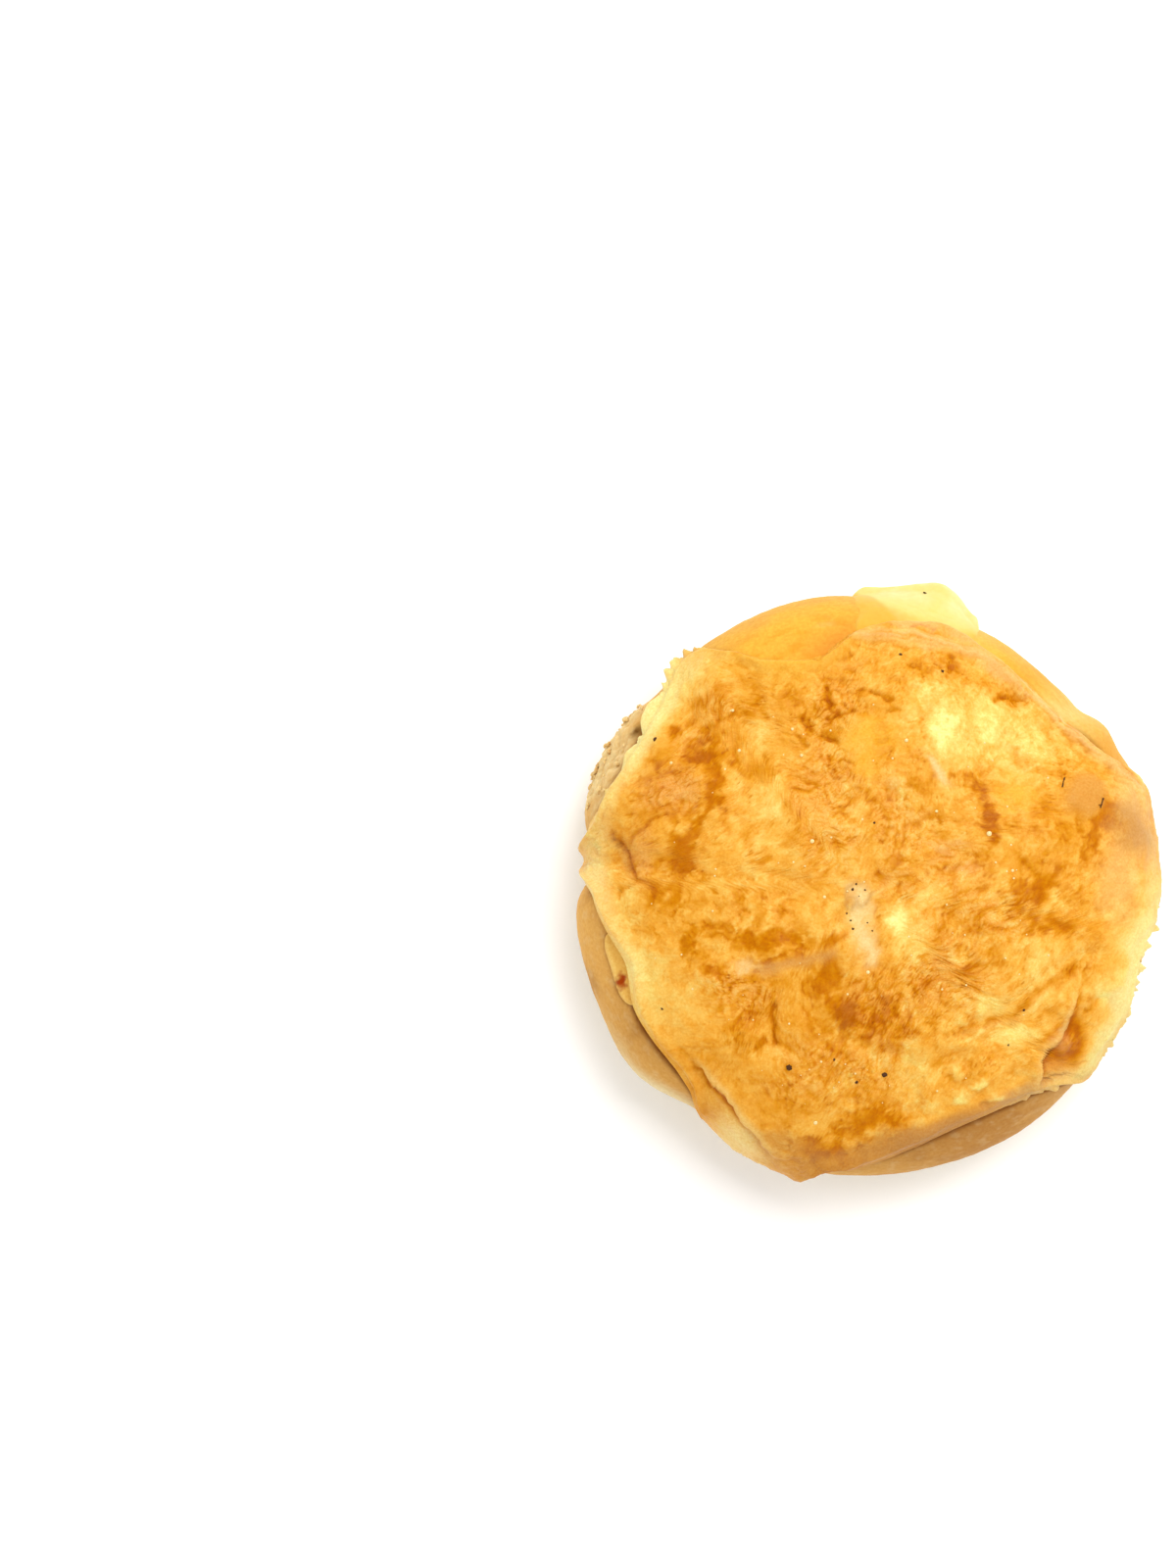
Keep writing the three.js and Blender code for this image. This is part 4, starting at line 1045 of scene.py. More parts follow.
class CheeseSkin:
    """The blanket's upper face at given places, and the marks at each of them, from 0 to about 1."""

    def __init__(self, degrees, along):
        self.degrees, self.along = degrees, along
        self.phi = cheese_end(degrees) * along
        theta = np.radians(degrees)
        length = bread_length(self.phi)
        self.u, self.v = length * np.cos(theta), length * np.sin(theta)
        plain = cheese_point(degrees, along, 1)
        self.x, self.y = plain[..., 0], plain[..., 1]
        self.inset = torn_reach(degrees) - np.hypot(self.x, self.y)
        self.wx, self.wy = pushed(self.x, self.y, OUTLINE_PUSHES)
        self.find_marbling()
        self.find_edges()
        self.find_patches()
        self.find_bubbles()
        self.find_ridge()
        self.find_lips()
        self.find_texture()
        self.find_stains()

    def near_edge(self, mark, uneven=0):
        return fading(self.inset + uneven, *EDGE_REACH[mark])

    def total(self, amounts):
        """The sum of the marks named in a table, each times its amount there."""
        return sum(amount * getattr(self, mark) for mark, amount in amounts.items())

    def find_marbling(self):
        """Uneven browning, folded over itself like melted layers, with thin veins."""
        folded = pushed(self.u, self.v, MARBLING_PUSHES)
        self.marbling = rough_noise(*folded, *MARBLING)
        self.fine_marbling = rough_noise(*pushed(self.u, self.v, FINE_MARBLING_PUSHES), *FINE_MARBLING)
        size, width, seed = VEINS
        gap, gap_seed = VEIN_GAPS
        shown = smoothstep(slope_noise(self.u / gap, self.v / gap, gap_seed), *VEIN_FADE)
        self.veins = hump(slope_noise(folded[0] / size, folded[1] / size, seed), width) * shown

    def find_edges(self):
        """Stretches along the blanket's edge, and the sides that hang."""
        self.hanging = smoothstep(self.phi, *HANGING_PHI)
        self.torn = np.maximum.reduce([bell(self.degrees, *stretch) for stretch in TORN_STRETCHES])
        self.flange = self.torn * self.near_edge("flange")
        self.merged = smoothstep(bell(self.degrees, *MERGED_STRETCH), *MERGED_FADE)
        self.sunk = self.merged * self.near_edge("sunk")
        lower_left = bell(self.degrees, *LOWER_LEFT) * self.near_edge("lower_left")
        lower_right = bell(self.degrees, *LOWER_RIGHT) * self.near_edge("lower_right")
        self.margin = np.maximum(lower_left, lower_right)
        self.pale_edge = sum_of_bells(self.degrees, PALE_EDGES) * self.near_edge("pale_edge")
        # Painted shade near the lower right edge and on its turned-down rim.
        self.shaded_edge = bell(self.degrees, *SHADED_EDGE_STRETCH) * self.near_edge("shaded_edge")
        self.turned = bell(self.degrees, *TURNED_STRETCH) * self.near_edge("turned")
        self.joined = bell(self.degrees, *JOINED_STRETCH) * self.near_edge("joined", self.marbling)

    def crisp(self, share):
        """A patch with clear but uneven edges."""
        return smoothstep(share + self.total(CRISP_UNEVENNESS), *CRISP_FADE)

    def find_patches(self):
        seen = self.wx, self.wy
        amber = np.maximum(spot_share(*seen, AMBER_POOLS), streak_share(*seen, AMBER_STREAKS))
        self.amber = self.crisp(amber)
        self.deep = self.crisp(spot_share(*seen, DEEP_POOLS))
        self.pool = np.maximum(self.amber, self.deep)
        self.brown = self.crisp(streak_share(*seen, BROWN_STREAKS))
        self.honey = spot_share(*seen, HONEY_POOLS)
        self.pale = spot_share(*seen, PALE_PATCHES)
        self.palest = smoothstep(self.pale, *PALEST_FADE)
        self.pink = spot_share(*seen, PINK_PATCHES)
        self.cream = spot_share(*seen, CREAM_PATCHES)
        self.tan_and_shade = spot_share(*seen, TAN_AND_SHADE_PATCHES)
        self.film = streak_share(*seen, FILM_STREAKS)
        self.tan_film = streak_share(*pushed(self.x, self.y, TAN_FILM_PUSHES), TAN_STREAKS)
        self.shaded_crease = streak_share(*pushed(self.x, self.y, CREASE_PUSHES), CREASES)
        self.rises = sum_of_spots(self.x, self.y, RISES)

    def find_bubbles(self):
        """The blister, and the rims of burst bubbles."""
        at_x, at_y, radius = BLISTER
        away = np.hypot(self.x - at_x, self.y - at_y) / radius
        self.blister = fading(away + BLISTER_UNEVENNESS * self.marbling, *BLISTER_FADE)
        rims = [np.hypot(self.x - at_x, self.y - at_y) - radius for at_x, at_y, radius in FILM_BUBBLES]
        self.ring = np.maximum.reduce([hump(apart, RING_WIDTH) for apart in rims])

    def find_ridge(self):
        """The ridge along the upper right edge, and the long thin folds beside it."""
        line, width, strength = RIDGE
        side, _ = lip_side(*pushed(self.x, self.y, RIDGE_PUSHES), line)
        self.ridge = strength * hump(side, width)
        step, fold_width, reach, seed = LONG_FOLDS
        self.long_folds = slope_noise(self.degrees / step, side / fold_width, seed) * hump(side, reach)

    def find_lips(self):
        """Rise of the lips, the painted shade in a line under them and the painted highlight along them."""
        self.lip_rise, self.lip_shade, self.lip_light = (np.zeros(np.shape(self.x)) for _ in range(3))
        x, y = pushed(self.x, self.y, LIP_PUSHES)
        for line, height in LIPS:
            side, share = lip_side(x, y, line)
            step = smoothstep(side, -LIP_HALF_STEP, LIP_HALF_STEP)
            above, below = LIP_ABOVE * hump(side, LIP_WIDTH), LIP_BELOW * hump(side, LIP_FOOT)
            self.lip_rise = self.lip_rise + height * share * lerp(-below, above, step)
            strength = share * np.minimum(height, 1)
            shade = strength * hump(side + LIP_HALF_STEP, LIP_SHADE_WIDTH)
            light = strength * hump(side - 2 * LIP_HALF_STEP, LIP_LIGHT_WIDTH)
            self.lip_shade = np.maximum(self.lip_shade, shade)
            self.lip_light = np.maximum(self.lip_light, light)

    def find_texture(self):
        """Where the skin is smooth, wrinkled or fibrous, with its wrinkles and fibres."""
        self.smooth = np.maximum.reduce([share * getattr(self, mark) for mark, share in SMOOTHNESS.items()])
        rim = 1 - RIM_SMOOTHING * smoothstep(self.along, *RIM_SMOOTHED)
        patchy = smoothstep(rough_noise(self.u, self.v, *PATCHINESS), *PATCHY_FADE)
        wrinkled = spot_share(self.wx, self.wy, WRINKLED_PATCHES) + PATCHY_WRINKLES * patchy
        self.wrinkled = np.clip(wrinkled, 0, 1) * (1 - RELIEF_SMOOTHING * self.smooth) * rim
        bent = pushed(self.u, self.v, WRINKLE_PUSHES)
        self.lines = crumpled(*bent)
        self.wrinkle_lines = self.lines * self.wrinkled
        fibrous = spot_share(self.wx, self.wy, FIBROUS_PATCHES) * rim
        self.fibres = fibrous * np.tanh(FIBRE_CONTRAST * streaked(*bent, self.fibre_flow(), *FIBRES))

    def fibre_flow(self):
        """Direction of the fibres: away from a middle, with some unevenness."""
        middle_x, middle_y = FIBRE_MIDDLE
        uneven = FIBRE_UNEVENNESS * rough_noise(self.u, self.v, *FIBRE_NOISE)
        angle = np.arctan2(self.y - middle_y, self.x - middle_x) + uneven
        return np.cos(angle), np.sin(angle)

    def find_stains(self):
        """Stains that follow more than one mark."""
        self.crests = self.wrinkled * fading(self.lines + self.shaded_crease, *CREST_FADE)
        self.blush = self.pink * (1 - LINES_IN_PINK * self.lines)
        # A painted highlight along the ridge, less over its folds, and pinkish cream on the cream patches.
        ridge = RIDGE_HIGHLIGHT_SHARE * self.ridge * (1 - FOLDS_IN_RIDGE * smoothstep(self.long_folds, *FOLD_FADE))
        self.rosy_and_highlit = np.maximum(ridge, CREAM_BLUSH * self.cream)
        self.pale_rim = np.minimum(self.pale_edge, 1)
        standing = self.torn * (1 - LIGHT_LOST_HANGING * self.hanging)
        self.light_flange = standing * self.near_edge("light_flange")
        self.light_rim = standing * self.near_edge("light_rim")
        torn_edge = self.torn * self.near_edge("torn_edge") * (1 - CREAM_LOST_HANGING * self.hanging)
        self.torn_edge = torn_edge * (1 - self.joined)
        self.teeth = self.torn * smoothstep(self.along, TEETH_FROM, 1) * (1 - self.joined)
        # Warm gold painted into the shade of the hanging sides, less where they are turned down or torn.
        self.warmed_shade = self.hanging * (1 - self.turned) * (1 - GOLD_LOST_TORN * self.torn)
        runs = sum(slope_noise(self.degrees / step, self.along * count, seed) for step, count, seed in DRIPS)
        self.drips = runs * self.hanging

    def fine_relief(self):
        """Height of the finest relief, in millimetres."""
        rise = self.total(MARK_RISE) + self.total(ROUGH_RISE) * (1 - RELIEF_SMOOTHING * self.smooth)
        for height, size, seed in SKIN_SWELLS:
            rise = rise + height * rough_noise(self.u, self.v, size, seed)
        rise = rise * (1 - EDGE_FLATTENING * smoothstep(self.along, RELIEF_FADES_FROM, 1))
        pinched = bell(self.degrees, *PINCHED_STRETCH) * smoothstep(self.phi, *PINCHED_PHI)
        thinned = sum(depth * smoothstep(self.along, start, end) for depth, start, end in TORN_THINNING)
        merged = self.merged * smoothstep(self.along, MERGED_FROM, 1)
        return rise - PINCH_DEPTH * pinched - thinned * self.torn - MERGED_DEPTH * merged

    def browning(self):
        """How brown the skin is, from 0 where it is palest to 1 where it is deep amber, with the painted shade
        of creases, lips and the lower right edge counted in.
        """
        brown = BASE_BROWNING + sum_of_spots(self.wx, self.wy, BROAD_TONES)
        brown = brown + self.total(ROUGH_BROWNING) * (1 - COLOUR_SMOOTHING * self.smooth)
        brown = brown + self.total(MARK_BROWNING)
        brown = lerp(brown, HONEY_BROWNING, HONEY_HOLD * self.honey)
        return np.minimum(brown + self.total(LAST_BROWNING), BROWNEST)

    def colour(self):
        levels = [level for level, _ in BROWNING]
        brown = self.browning()
        shown = [np.interp(brown, levels, [shade[k] for _, shade in BROWNING]) for k in range(3)]
        return layered(linear(np.stack(shown, axis=-1)), CHEESE_STAINS, vars(self))

    def gloss(self):
        return np.clip(self.pool + HONEY_GLOSS * self.honey, 0, 1)

    def vein_strength(self):
        """How strongly fine veins show: most in the wrinkled patches, hardly where the skin is smooth."""
        shown = np.clip(PLAIN_VEINS + WRINKLED_VEINS * self.wrinkled, 0, 1)
        return shown * (1 - VEIN_SMOOTHING * self.smooth)


class BreadSkin:
    """The bread's skin at given places, and the marks at each of them, from 0 to about 1."""

    def __init__(self, degrees, phi):
        self.degrees, self.phi = degrees, phi
        self.down = bread_length(phi)
        self.below = self.down - bread_length(cheese_end(degrees))
        self.mottle = self.noise("mottle")
        self.streaks = round_noise(degrees, STREAK_SQUEEZE * self.down, *BREAD_NOISE["streaks"])
        self.find_tears()
        self.find_crust()
        self.find_gold()
        self.find_shade()

    def noise(self, name):
        return round_noise(self.degrees, self.down, *BREAD_NOISE[name])

    def stretch(self, name, uneven=0):
        return bell(self.degrees + uneven, *SIDE_STRETCHES[name])

    def lower(self, name):
        """0 above a mark's level and 1 below it."""
        start, end, uneven = SIDE_LEVELS[name]
        return smoothstep(self.phi + uneven * self.mottle, start, end)

    def find_tears(self):
        """The torn patches with the pores of their crumb and the painted shade in them, and the painted shade
        of a hollow.
        """
        torn = torn_share(self.phi) * sum(bell(self.degrees, at, spread) for at, spread, _ in TORN_PATCHES)
        self.torn = smoothstep(np.clip(torn, 0, 1) + TEAR_UNEVENNESS * self.noise("tears"), *TEAR_FADE)
        pores, fine_pores = np.abs(self.noise("pores")), np.abs(self.noise("fine_pores"))
        self.pores = np.minimum(pores, fine_pores + FINE_PORE_FLOOR)
        self.pore_shade = self.torn * fading(self.pores, *PORE_SHADE_FADE)
        at, at_phi, width, height = CRUMB_HOLLOW
        self.hollow = bell(self.degrees, at, width) * hump(self.phi - at_phi, height)

    def find_crust(self):
        """Browner and paler places of the crust, with painted shade on the lower sides turned from the light
        and in the crease beside the lobe.
        """
        mottled = MOTTLED_BROWN * smoothstep(self.mottle, *MOTTLE_FADE)
        self.browned_and_shaded = np.clip(sum_of_bells(self.degrees, BROWNED_AND_SHADED_STRETCHES) + mottled, 0, 1)
        self.lobe_crease_shade = self.stretch("lobe_crease_shade") * fading(np.abs(self.phi - LOBE_CREASE_SHADE_PHI), *LOBE_CREASE_SHADE_FADE)
        self.flecked = smoothstep(self.noise("flecks"), *FLECK_FADE)
        self.foot = self.lower("foot")
        self.cream_foot = self.stretch("cream_foot") * self.lower("cream_foot")
        self.cream_side = self.stretch("cream_side")

    def find_gold(self):
        """The golden band, its streaks and its tan edge, the film of cheese over it, and painted shade beside
        the blanket.
        """
        band = np.maximum(self.stretch("golden"), self.stretch("golden_left"))
        self.golden = np.clip(GOLD_STRENGTH * band, 0, 1) * (1 - GOLD_FADING * self.lower("golden"))
        self.golden_streaks = self.golden * smoothstep(self.streaks, *STREAK_FADE)
        # Tan edge of the band, partly painted shade where the crust turns down.
        self.tan_and_shaded_edge = self.golden * smoothstep(self.phi + TAN_AND_SHADED_EDGE_UNEVENNESS * self.streaks, *TAN_AND_SHADED_EDGE_PHI)
        patchy = self.mottle - GLOWING_STREAKS * self.streaks
        self.glowing = self.stretch("glowing") * smoothstep(patchy, *GLOWING_FADE)
        aside = STREAK_SWAY * self.streaks
        self.light = self.stretch("light", aside)
        self.amber = AMBER_SHARE * self.stretch("amber", aside) + AMBER_END_SHARE * self.stretch("amber_end")
        self.film = self.stretch("film") * self.lower("film") * (1 - self.lower("film_end"))
        self.deep_film = self.film * self.lower("deep_film")
        self.blanket_edge_shade = self.stretch("blanket_edge_shade") * hump(self.below, BLANKET_EDGE_SHADE_REACH)

    def find_shade(self):
        """Shade under the blanket's edge and round the lobe."""
        sharp = EDGE_SHADE * fading(self.below, *EDGE_SHADE_REACH)
        soft = SOFT_SHADE * hump(self.below, SOFT_SHADE_REACH)
        shade = (sharp + soft) * (1 - LESS_SHADED * self.stretch("less_shaded"))
        self.shaded = shade * (1 - self.golden) * (1 - SHADE_LOST_TORN * self.torn)
        beyond = self.down - bread_length(lobe_edge(self.degrees))
        self.lobe_shade = hump(beyond, LOBE_SHADE_REACH) * (lobe_fullness(self.degrees) > 0)

    def fine_relief(self):
        """Height of the finest relief, in millimetres."""
        crumb = CRUMB_RISE * self.noise("crumb") - PORE_DEPTH * fading(self.pores, *PORE_SLOPE)
        crust = CRUST_RISE * self.noise("crust") + FINE_CRUST_RISE * self.noise("fine_crust")
        dents = sum_of_bells(self.degrees, WAIST_DENTS) * torn_share(self.phi)
        return (lerp(crust, crumb, self.torn) + dents) * smoothstep(np.pi - self.phi, 0, FLAT_FOOT)

    def colour(self):
        return layered(plain_tint(CRUST_TAN, self.phi.shape), BREAD_STAINS, vars(self))


def rows_of(array):
    return np.asarray(array).reshape(-1, np.shape(array)[-1])


def border_of(grid):
    """The values round a grid's border, in turn."""
    return np.concatenate([grid[0, :-1], grid[:-1, -1], grid[-1, :0:-1], grid[:0:-1, 0]])


def make_piece(name, points, faces, slot, material, **marks):
    """A piece from points in millimetres about the roll's axis, with values or colours at each point."""
    mesh = bpy.data.meshes.new(name)
    mesh.from_pydata(((points + AXIS) * MM).tolist(), [], faces)
    mesh.update()
    mesh.polygons.foreach_set("use_smooth", [True] * len(mesh.polygons))
    for mark, values in marks.items():
        if values.shape[-1] == 3:
            layer = mesh.attributes.new(mark, "FLOAT_COLOR", "POINT")
            layer.data.foreach_set("color", np.c_[values, np.ones(len(values))].astype(np.float32).ravel())
        else:
            layer = mesh.attributes.new(mark, "FLOAT", "POINT")
            layer.data.foreach_set("value", values.astype(np.float32).ravel())
    mesh.materials.append(material)
    piece = bpy.data.objects.new(name, mesh)
    bpy.context.scene.collection.objects.link(piece)
    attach(piece, "root")
    return piece


def cells(*corners):
    """Four-cornered faces from the numbers of the points at each of their corners."""
    return np.stack(corners, axis=-1).reshape(-1, 4).tolist()


def closed_sheet(upper, lower, back_step, bulge):
    """Points and faces of a closed sheet from the grids of its two faces. The lower face has one cell for
    back_step steps of the upper one. The edge is rounded outward by bulge, given for each border point."""
    rows, columns = upper.shape[:2]
    index = np.arange(rows * columns).reshape(rows, columns)
    below = index + rows * columns
    border = border_of(index)
    middle = (rows_of(upper)[border] + rows_of(lower)[border]) / 2 + bulge
    points = np.concatenate([rows_of(upper), rows_of(lower), middle])
    faces = cells(index[:-1, :-1], index[:-1, 1:], index[1:, 1:], index[1:, :-1])
    ring = 2 * rows * columns + np.arange(len(border))
    for start, end in ((border, ring), (ring, border + rows * columns)):
        faces += cells(start, end, np.roll(end, -1), np.roll(start, -1))
    for row in range(0, rows - 1, back_step):
        for column in range(0, columns - 1, back_step):
            faces.append(back_cell(below, row, column, back_step))
    used, renumbered = np.unique(np.concatenate([np.ravel(face) for face in faces]), return_inverse=True)
    ends = np.cumsum([len(face) for face in faces])[:-1]
    return points[used], [face.tolist() for face in np.split(renumbered, ends)], used


def back_cell(below, row, column, step):
    """One cell of a sheet's lower face, with every point of the sheet's border that it meets."""
    last_row, last_column = below.shape[0] - 1, below.shape[1] - 1
    far_row, far_column = row + step, column + step
    west = below[row:far_row, column]
    north = below[far_row, column:far_column]
    east = below[far_row:row:-1, far_column]
    south = below[row, far_column:column:-1]
    on_border = (column == 0, far_row == last_row, far_column == last_column, row == 0)
    sides = zip((west, north, east, south), on_border)
    return np.concatenate([side if whole else side[:1] for side, whole in sides])


def on_sheet(values):
    """Values of a sheet's upper face, given to its lower face and its edge too."""
    return np.concatenate([rows_of(values), rows_of(values), border_of(values)])


def sheet_marks(used, **marks):
    """Marks of a sheet's upper face, given to all the points that the sheet uses."""
    return {mark: on_sheet(values)[used] for mark, values in marks.items()}


def set_inputs(node, values):
    for name, value in values.items():
        node.inputs[name].default_value = value


def link_or_set(tree, socket, value):
    """Gives a socket either another node's output or a plain value."""
    if isinstance(value, bpy.types.NodeSocket):
        tree.links.new(value, socket)
    else:
        socket.default_value = value


def shader(name):
    """A new material and its main shader node."""
    material = bpy.data.materials.new(name)
    material.use_nodes = True
    return material, material.node_tree.nodes["Principled BSDF"]


def noise_node(tree, size, detail):
    """Noise of a size in millimetres on the piece's own coordinates."""
    place = tree.nodes.new("ShaderNodeTexCoord")
    noise = tree.nodes.new("ShaderNodeTexNoise")
    set_inputs(noise, {"Scale": 1 / (size * MM), "Detail": detail})
    tree.links.new(place.outputs["Object"], noise.inputs["Vector"])
    return noise


def mixed_node(tree, blend, first, second, share):
    """A colour mix of two colours or outputs, by a share or an output."""
    node = tree.nodes.new("ShaderNodeMix")
    node.data_type = "RGBA"
    node.blend_type = blend
    for place, value in zip(COLOUR_MIX_INPUTS, (share, first, second)):
        link_or_set(tree, node.inputs[place], value)
    return node.outputs[COLOUR_MIX_OUTPUT]


def attribute_node(tree, name):
    node = tree.nodes.new("ShaderNodeAttribute")
    node.attribute_name = name
    return node


def range_node(tree, value, given, wanted):
    """A value carried from one range to another, held at its ends."""
    node = tree.nodes.new("ShaderNodeMapRange")
    set_inputs(node, dict(zip(("From Min", "From Max", "To Min", "To Max"), (*given, *wanted))))
    tree.links.new(value, node.inputs["Value"])
    return node.outputs["Result"]


def math_node(tree, operation, first, second):
    node = tree.nodes.new("ShaderNodeMath")
    node.operation = operation
    for socket, value in zip(node.inputs, (first, second)):
        link_or_set(tree, socket, value)
    return node.outputs["Value"]


def vein_node(tree, size, width):
    """Thin winding lines, 1 along their middle."""
    noise = noise_node(tree, size, VEIN_DETAIL)
    noise.inputs["Distortion"].default_value = VEIN_DISTORTION
    apart = math_node(tree, "ABSOLUTE", math_node(tree, "SUBTRACT", noise.outputs["Fac"], 0.5), 0)
    return range_node(tree, apart, (0, width), (1, 0))


def food_material(name, look):
    """A material coloured by the points, with fine grain, veins, bumps and a little inner glow."""
    material, surface = shader(name)
    tree = material.node_tree
    grain = noise_node(tree, look["grain"], GRAIN_DETAIL).outputs["Fac"]
    speckle = range_node(tree, grain, GRAIN_RANGE, (0, 1))
    grain_tint = mixed_node(tree, "MIX", (*look["dark_grain"], 1), (*look["light_grain"], 1), speckle)
    skin = mixed_node(tree, "MULTIPLY", attribute_node(tree, "tint").outputs["Color"], grain_tint, 1)
    height = noise_node(tree, look["bump_size"], BUMP_DETAIL).outputs["Fac"]
    for size, width, strength in look["veins"]:
        shown = math_node(tree, "MULTIPLY", attribute_node(tree, "wrinkled").outputs["Fac"], strength)
        vein = math_node(tree, "MULTIPLY", vein_node(tree, size, width), shown)
        skin = mixed_node(tree, "MULTIPLY", skin, (*VEIN_STAIN, 1), vein)
        height = math_node(tree, "SUBTRACT", height, math_node(tree, "MULTIPLY", vein, VEIN_DEPTH))
    tree.links.new(skin, surface.inputs["Base Color"])
    gloss = attribute_node(tree, "gloss").outputs["Fac"]
    roughness = range_node(tree, gloss, (0, 1), (look["dull"], look["shiny"]))
    tree.links.new(roughness, surface.inputs["Roughness"])
    bump = tree.nodes.new("ShaderNodeBump")
    bump.inputs["Distance"].default_value = look["bump_depth"] * MM
    tree.links.new(height, bump.inputs["Height"])
    tree.links.new(bump.outputs["Normal"], surface.inputs["Normal"])
    set_inputs(surface, {
        "Specular IOR Level": FOOD_SPECULAR, "Coat Weight": look["oil"], "Coat Roughness": OIL_ROUGHNESS,
        "Coat IOR": OIL_IOR, "Subsurface Weight": look["glow"], "Subsurface Radius": GLOW_COLOUR,
        "Subsurface Scale": look["glow_reach"] * MM,
    })
    return material


def plain_material(name, colour, roughness, specular):
    material, surface = shader(name)
    look = {"Base Color": (*colour, 1), "Roughness": roughness, "Specular IOR Level": specular}
    set_inputs(surface, look)
    return material


def frame_axis():
    """Place of the roll's axis in the frame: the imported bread's middle against the middle worked out here."""
    degrees = np.linspace(0, 360, AXIS_STEPS[0], endpoint=False)
    phi = np.linspace(0, np.pi, AXIS_STEPS[1])
    points = bread_shape(*np.meshgrid(degrees, phi), 0)
    own_middle = (points.min((0, 1)) + points.max((0, 1))) / 2
    low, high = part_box("bread_roll")
    packed_middle = np.array((low + high) / 2) / MM
    return np.array([packed_middle[0] - own_middle[0], packed_middle[1] - own_middle[1], 0])


def make_bread():
    cap = np.linspace(0, BREAD_SIDE_FROM, BREAD_CAP_RINGS, endpoint=False)[1:]
    side = np.linspace(BREAD_SIDE_FROM, np.pi, BREAD_SIDE_RINGS)
    turn = np.arange(BREAD_SEGMENTS) * 360 / BREAD_SEGMENTS
    degrees, phi = np.meshgrid(turn, np.concatenate([cap, side]))
    skin = BreadSkin(degrees, phi)
    points = bread_shape(degrees, phi, skin.fine_relief())
    points[-1, :, 2] = 0
    tint = skin.colour()
    index = np.arange(degrees.size).reshape(degrees.shape) + 1
    after = np.roll(index, -1, axis=1)
    last = degrees.size + 1
    faces = cells(index[:-1], index[1:], after[1:], after[:-1])
    faces += [[0, a, b] for a, b in zip(index[0].tolist(), after[0].tolist())]
    faces += [[last, b, a] for a, b in zip(index[-1].tolist(), after[-1].tolist())]
    crown = bread_point(np.zeros(1), np.zeros(1))
    foot = np.zeros((1, 3))
    all_points = np.concatenate([crown, rows_of(points), foot])
    all_tints = np.concatenate([tint[0, :1], rows_of(tint), tint[-1, :1]])
    material = food_material("baked_bread", BREAD_LOOK)
    piece = make_piece("bread", all_points, faces, "bread", material, tint=all_tints)
    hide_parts("bread_roll")
    return material


def torn_fringe(degrees):
    """How far a torn edge stands in or out: scallops, with tufts here and there."""
    still = 0 * degrees
    scattered = smoothstep(slope_noise(degrees / TUFT_STEP, still + TUFT_ROW, SEEDS["tufts"]), *TUFT_FADE)
    tufted = np.maximum(scattered, bell(degrees, *TUFTED_STRETCH))
    fringe = FINE_TOOTH * rough_noise(degrees, still, FINE_TOOTH_STEP, SEEDS["fringe"]) + TUFT_REACH
    return tufted * fringe + sum_of_bells(degrees, SCALLOPS)


def make_cheese(extra_speck):
    step = np.linspace(-1, 1, CHEESE_STEPS + 1)
    along, degrees = square_to_disc(*np.meshgrid(step, step))
    skin = CheeseSkin(degrees, along)
    frayed = smoothstep(skin.torn, *FRINGE_FADE) + sum_of_bells(degrees, FRAYED_STRETCHES)
    lip = torn_fringe(degrees) * frayed
    upper = cheese_point(degrees, along, 1, skin.fine_relief(), lip)
    lower = cheese_point(degrees, along, 0, 0, lip)
    lower = lower - bread_normal(degrees, skin.phi) * (CHEESE_GAP + CHEESE_SUNK)
    bulge = EDGE_BULGE * outward(border_of(degrees))
    points, faces, used = closed_sheet(upper, lower, CHEESE_BACK_STEP, bulge)
    gloss, wrinkled = skin.gloss()[..., None], skin.vein_strength()[..., None]
    marks = sheet_marks(used, tint=skin.colour(), gloss=gloss, wrinkled=wrinkled)
    material = food_material("browned_cheese", CHEESE_LOOK)
    piece = make_piece("cheese", points, faces, "browned_cheese", material, **marks)
    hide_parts("cheese_topping")
    make_specks(skin, upper, extra_speck)
    make_beads(skin, upper)
    make_lobe(material)


def run_grid():
    """Places of the run: direction, phi, how far up it, how far into its film, and how full it is there."""
    columns, rows, film_rows = RUN_STEPS
    degrees = np.linspace(RUN_FROM, RUN_TO, columns + 1)[None, :]
    up = np.concatenate([np.linspace(0, 1, rows + 1), np.ones(film_rows)])[:, None]
    in_film = np.concatenate([np.zeros(rows + 1), np.linspace(0, 1, film_rows + 1)[1:]])[:, None]
    side = np.where(degrees < RUN_PEAK, RUN_PEAK - RUN_FROM, RUN_TO - RUN_PEAK)
    full = arch(degrees - RUN_PEAK, side)
    uneven = RUN_UNEVEN * slope_noise(degrees / RUN_UNEVEN_STEP, 0 * degrees, SEEDS["run_edge"])
    drop = RUN_DROP * lerp(1 + uneven, 1, up)
    phi = np.radians(RUN_MIDDLE + drop * lerp(RUN_END_SHARE, 1, full) * (1 - 2 * up))
    phi = lerp(phi, cheese_end(degrees) - np.radians(RUN_FILM_TUCK), in_film)
    return np.broadcast_arrays(degrees, phi, up, in_film, full)


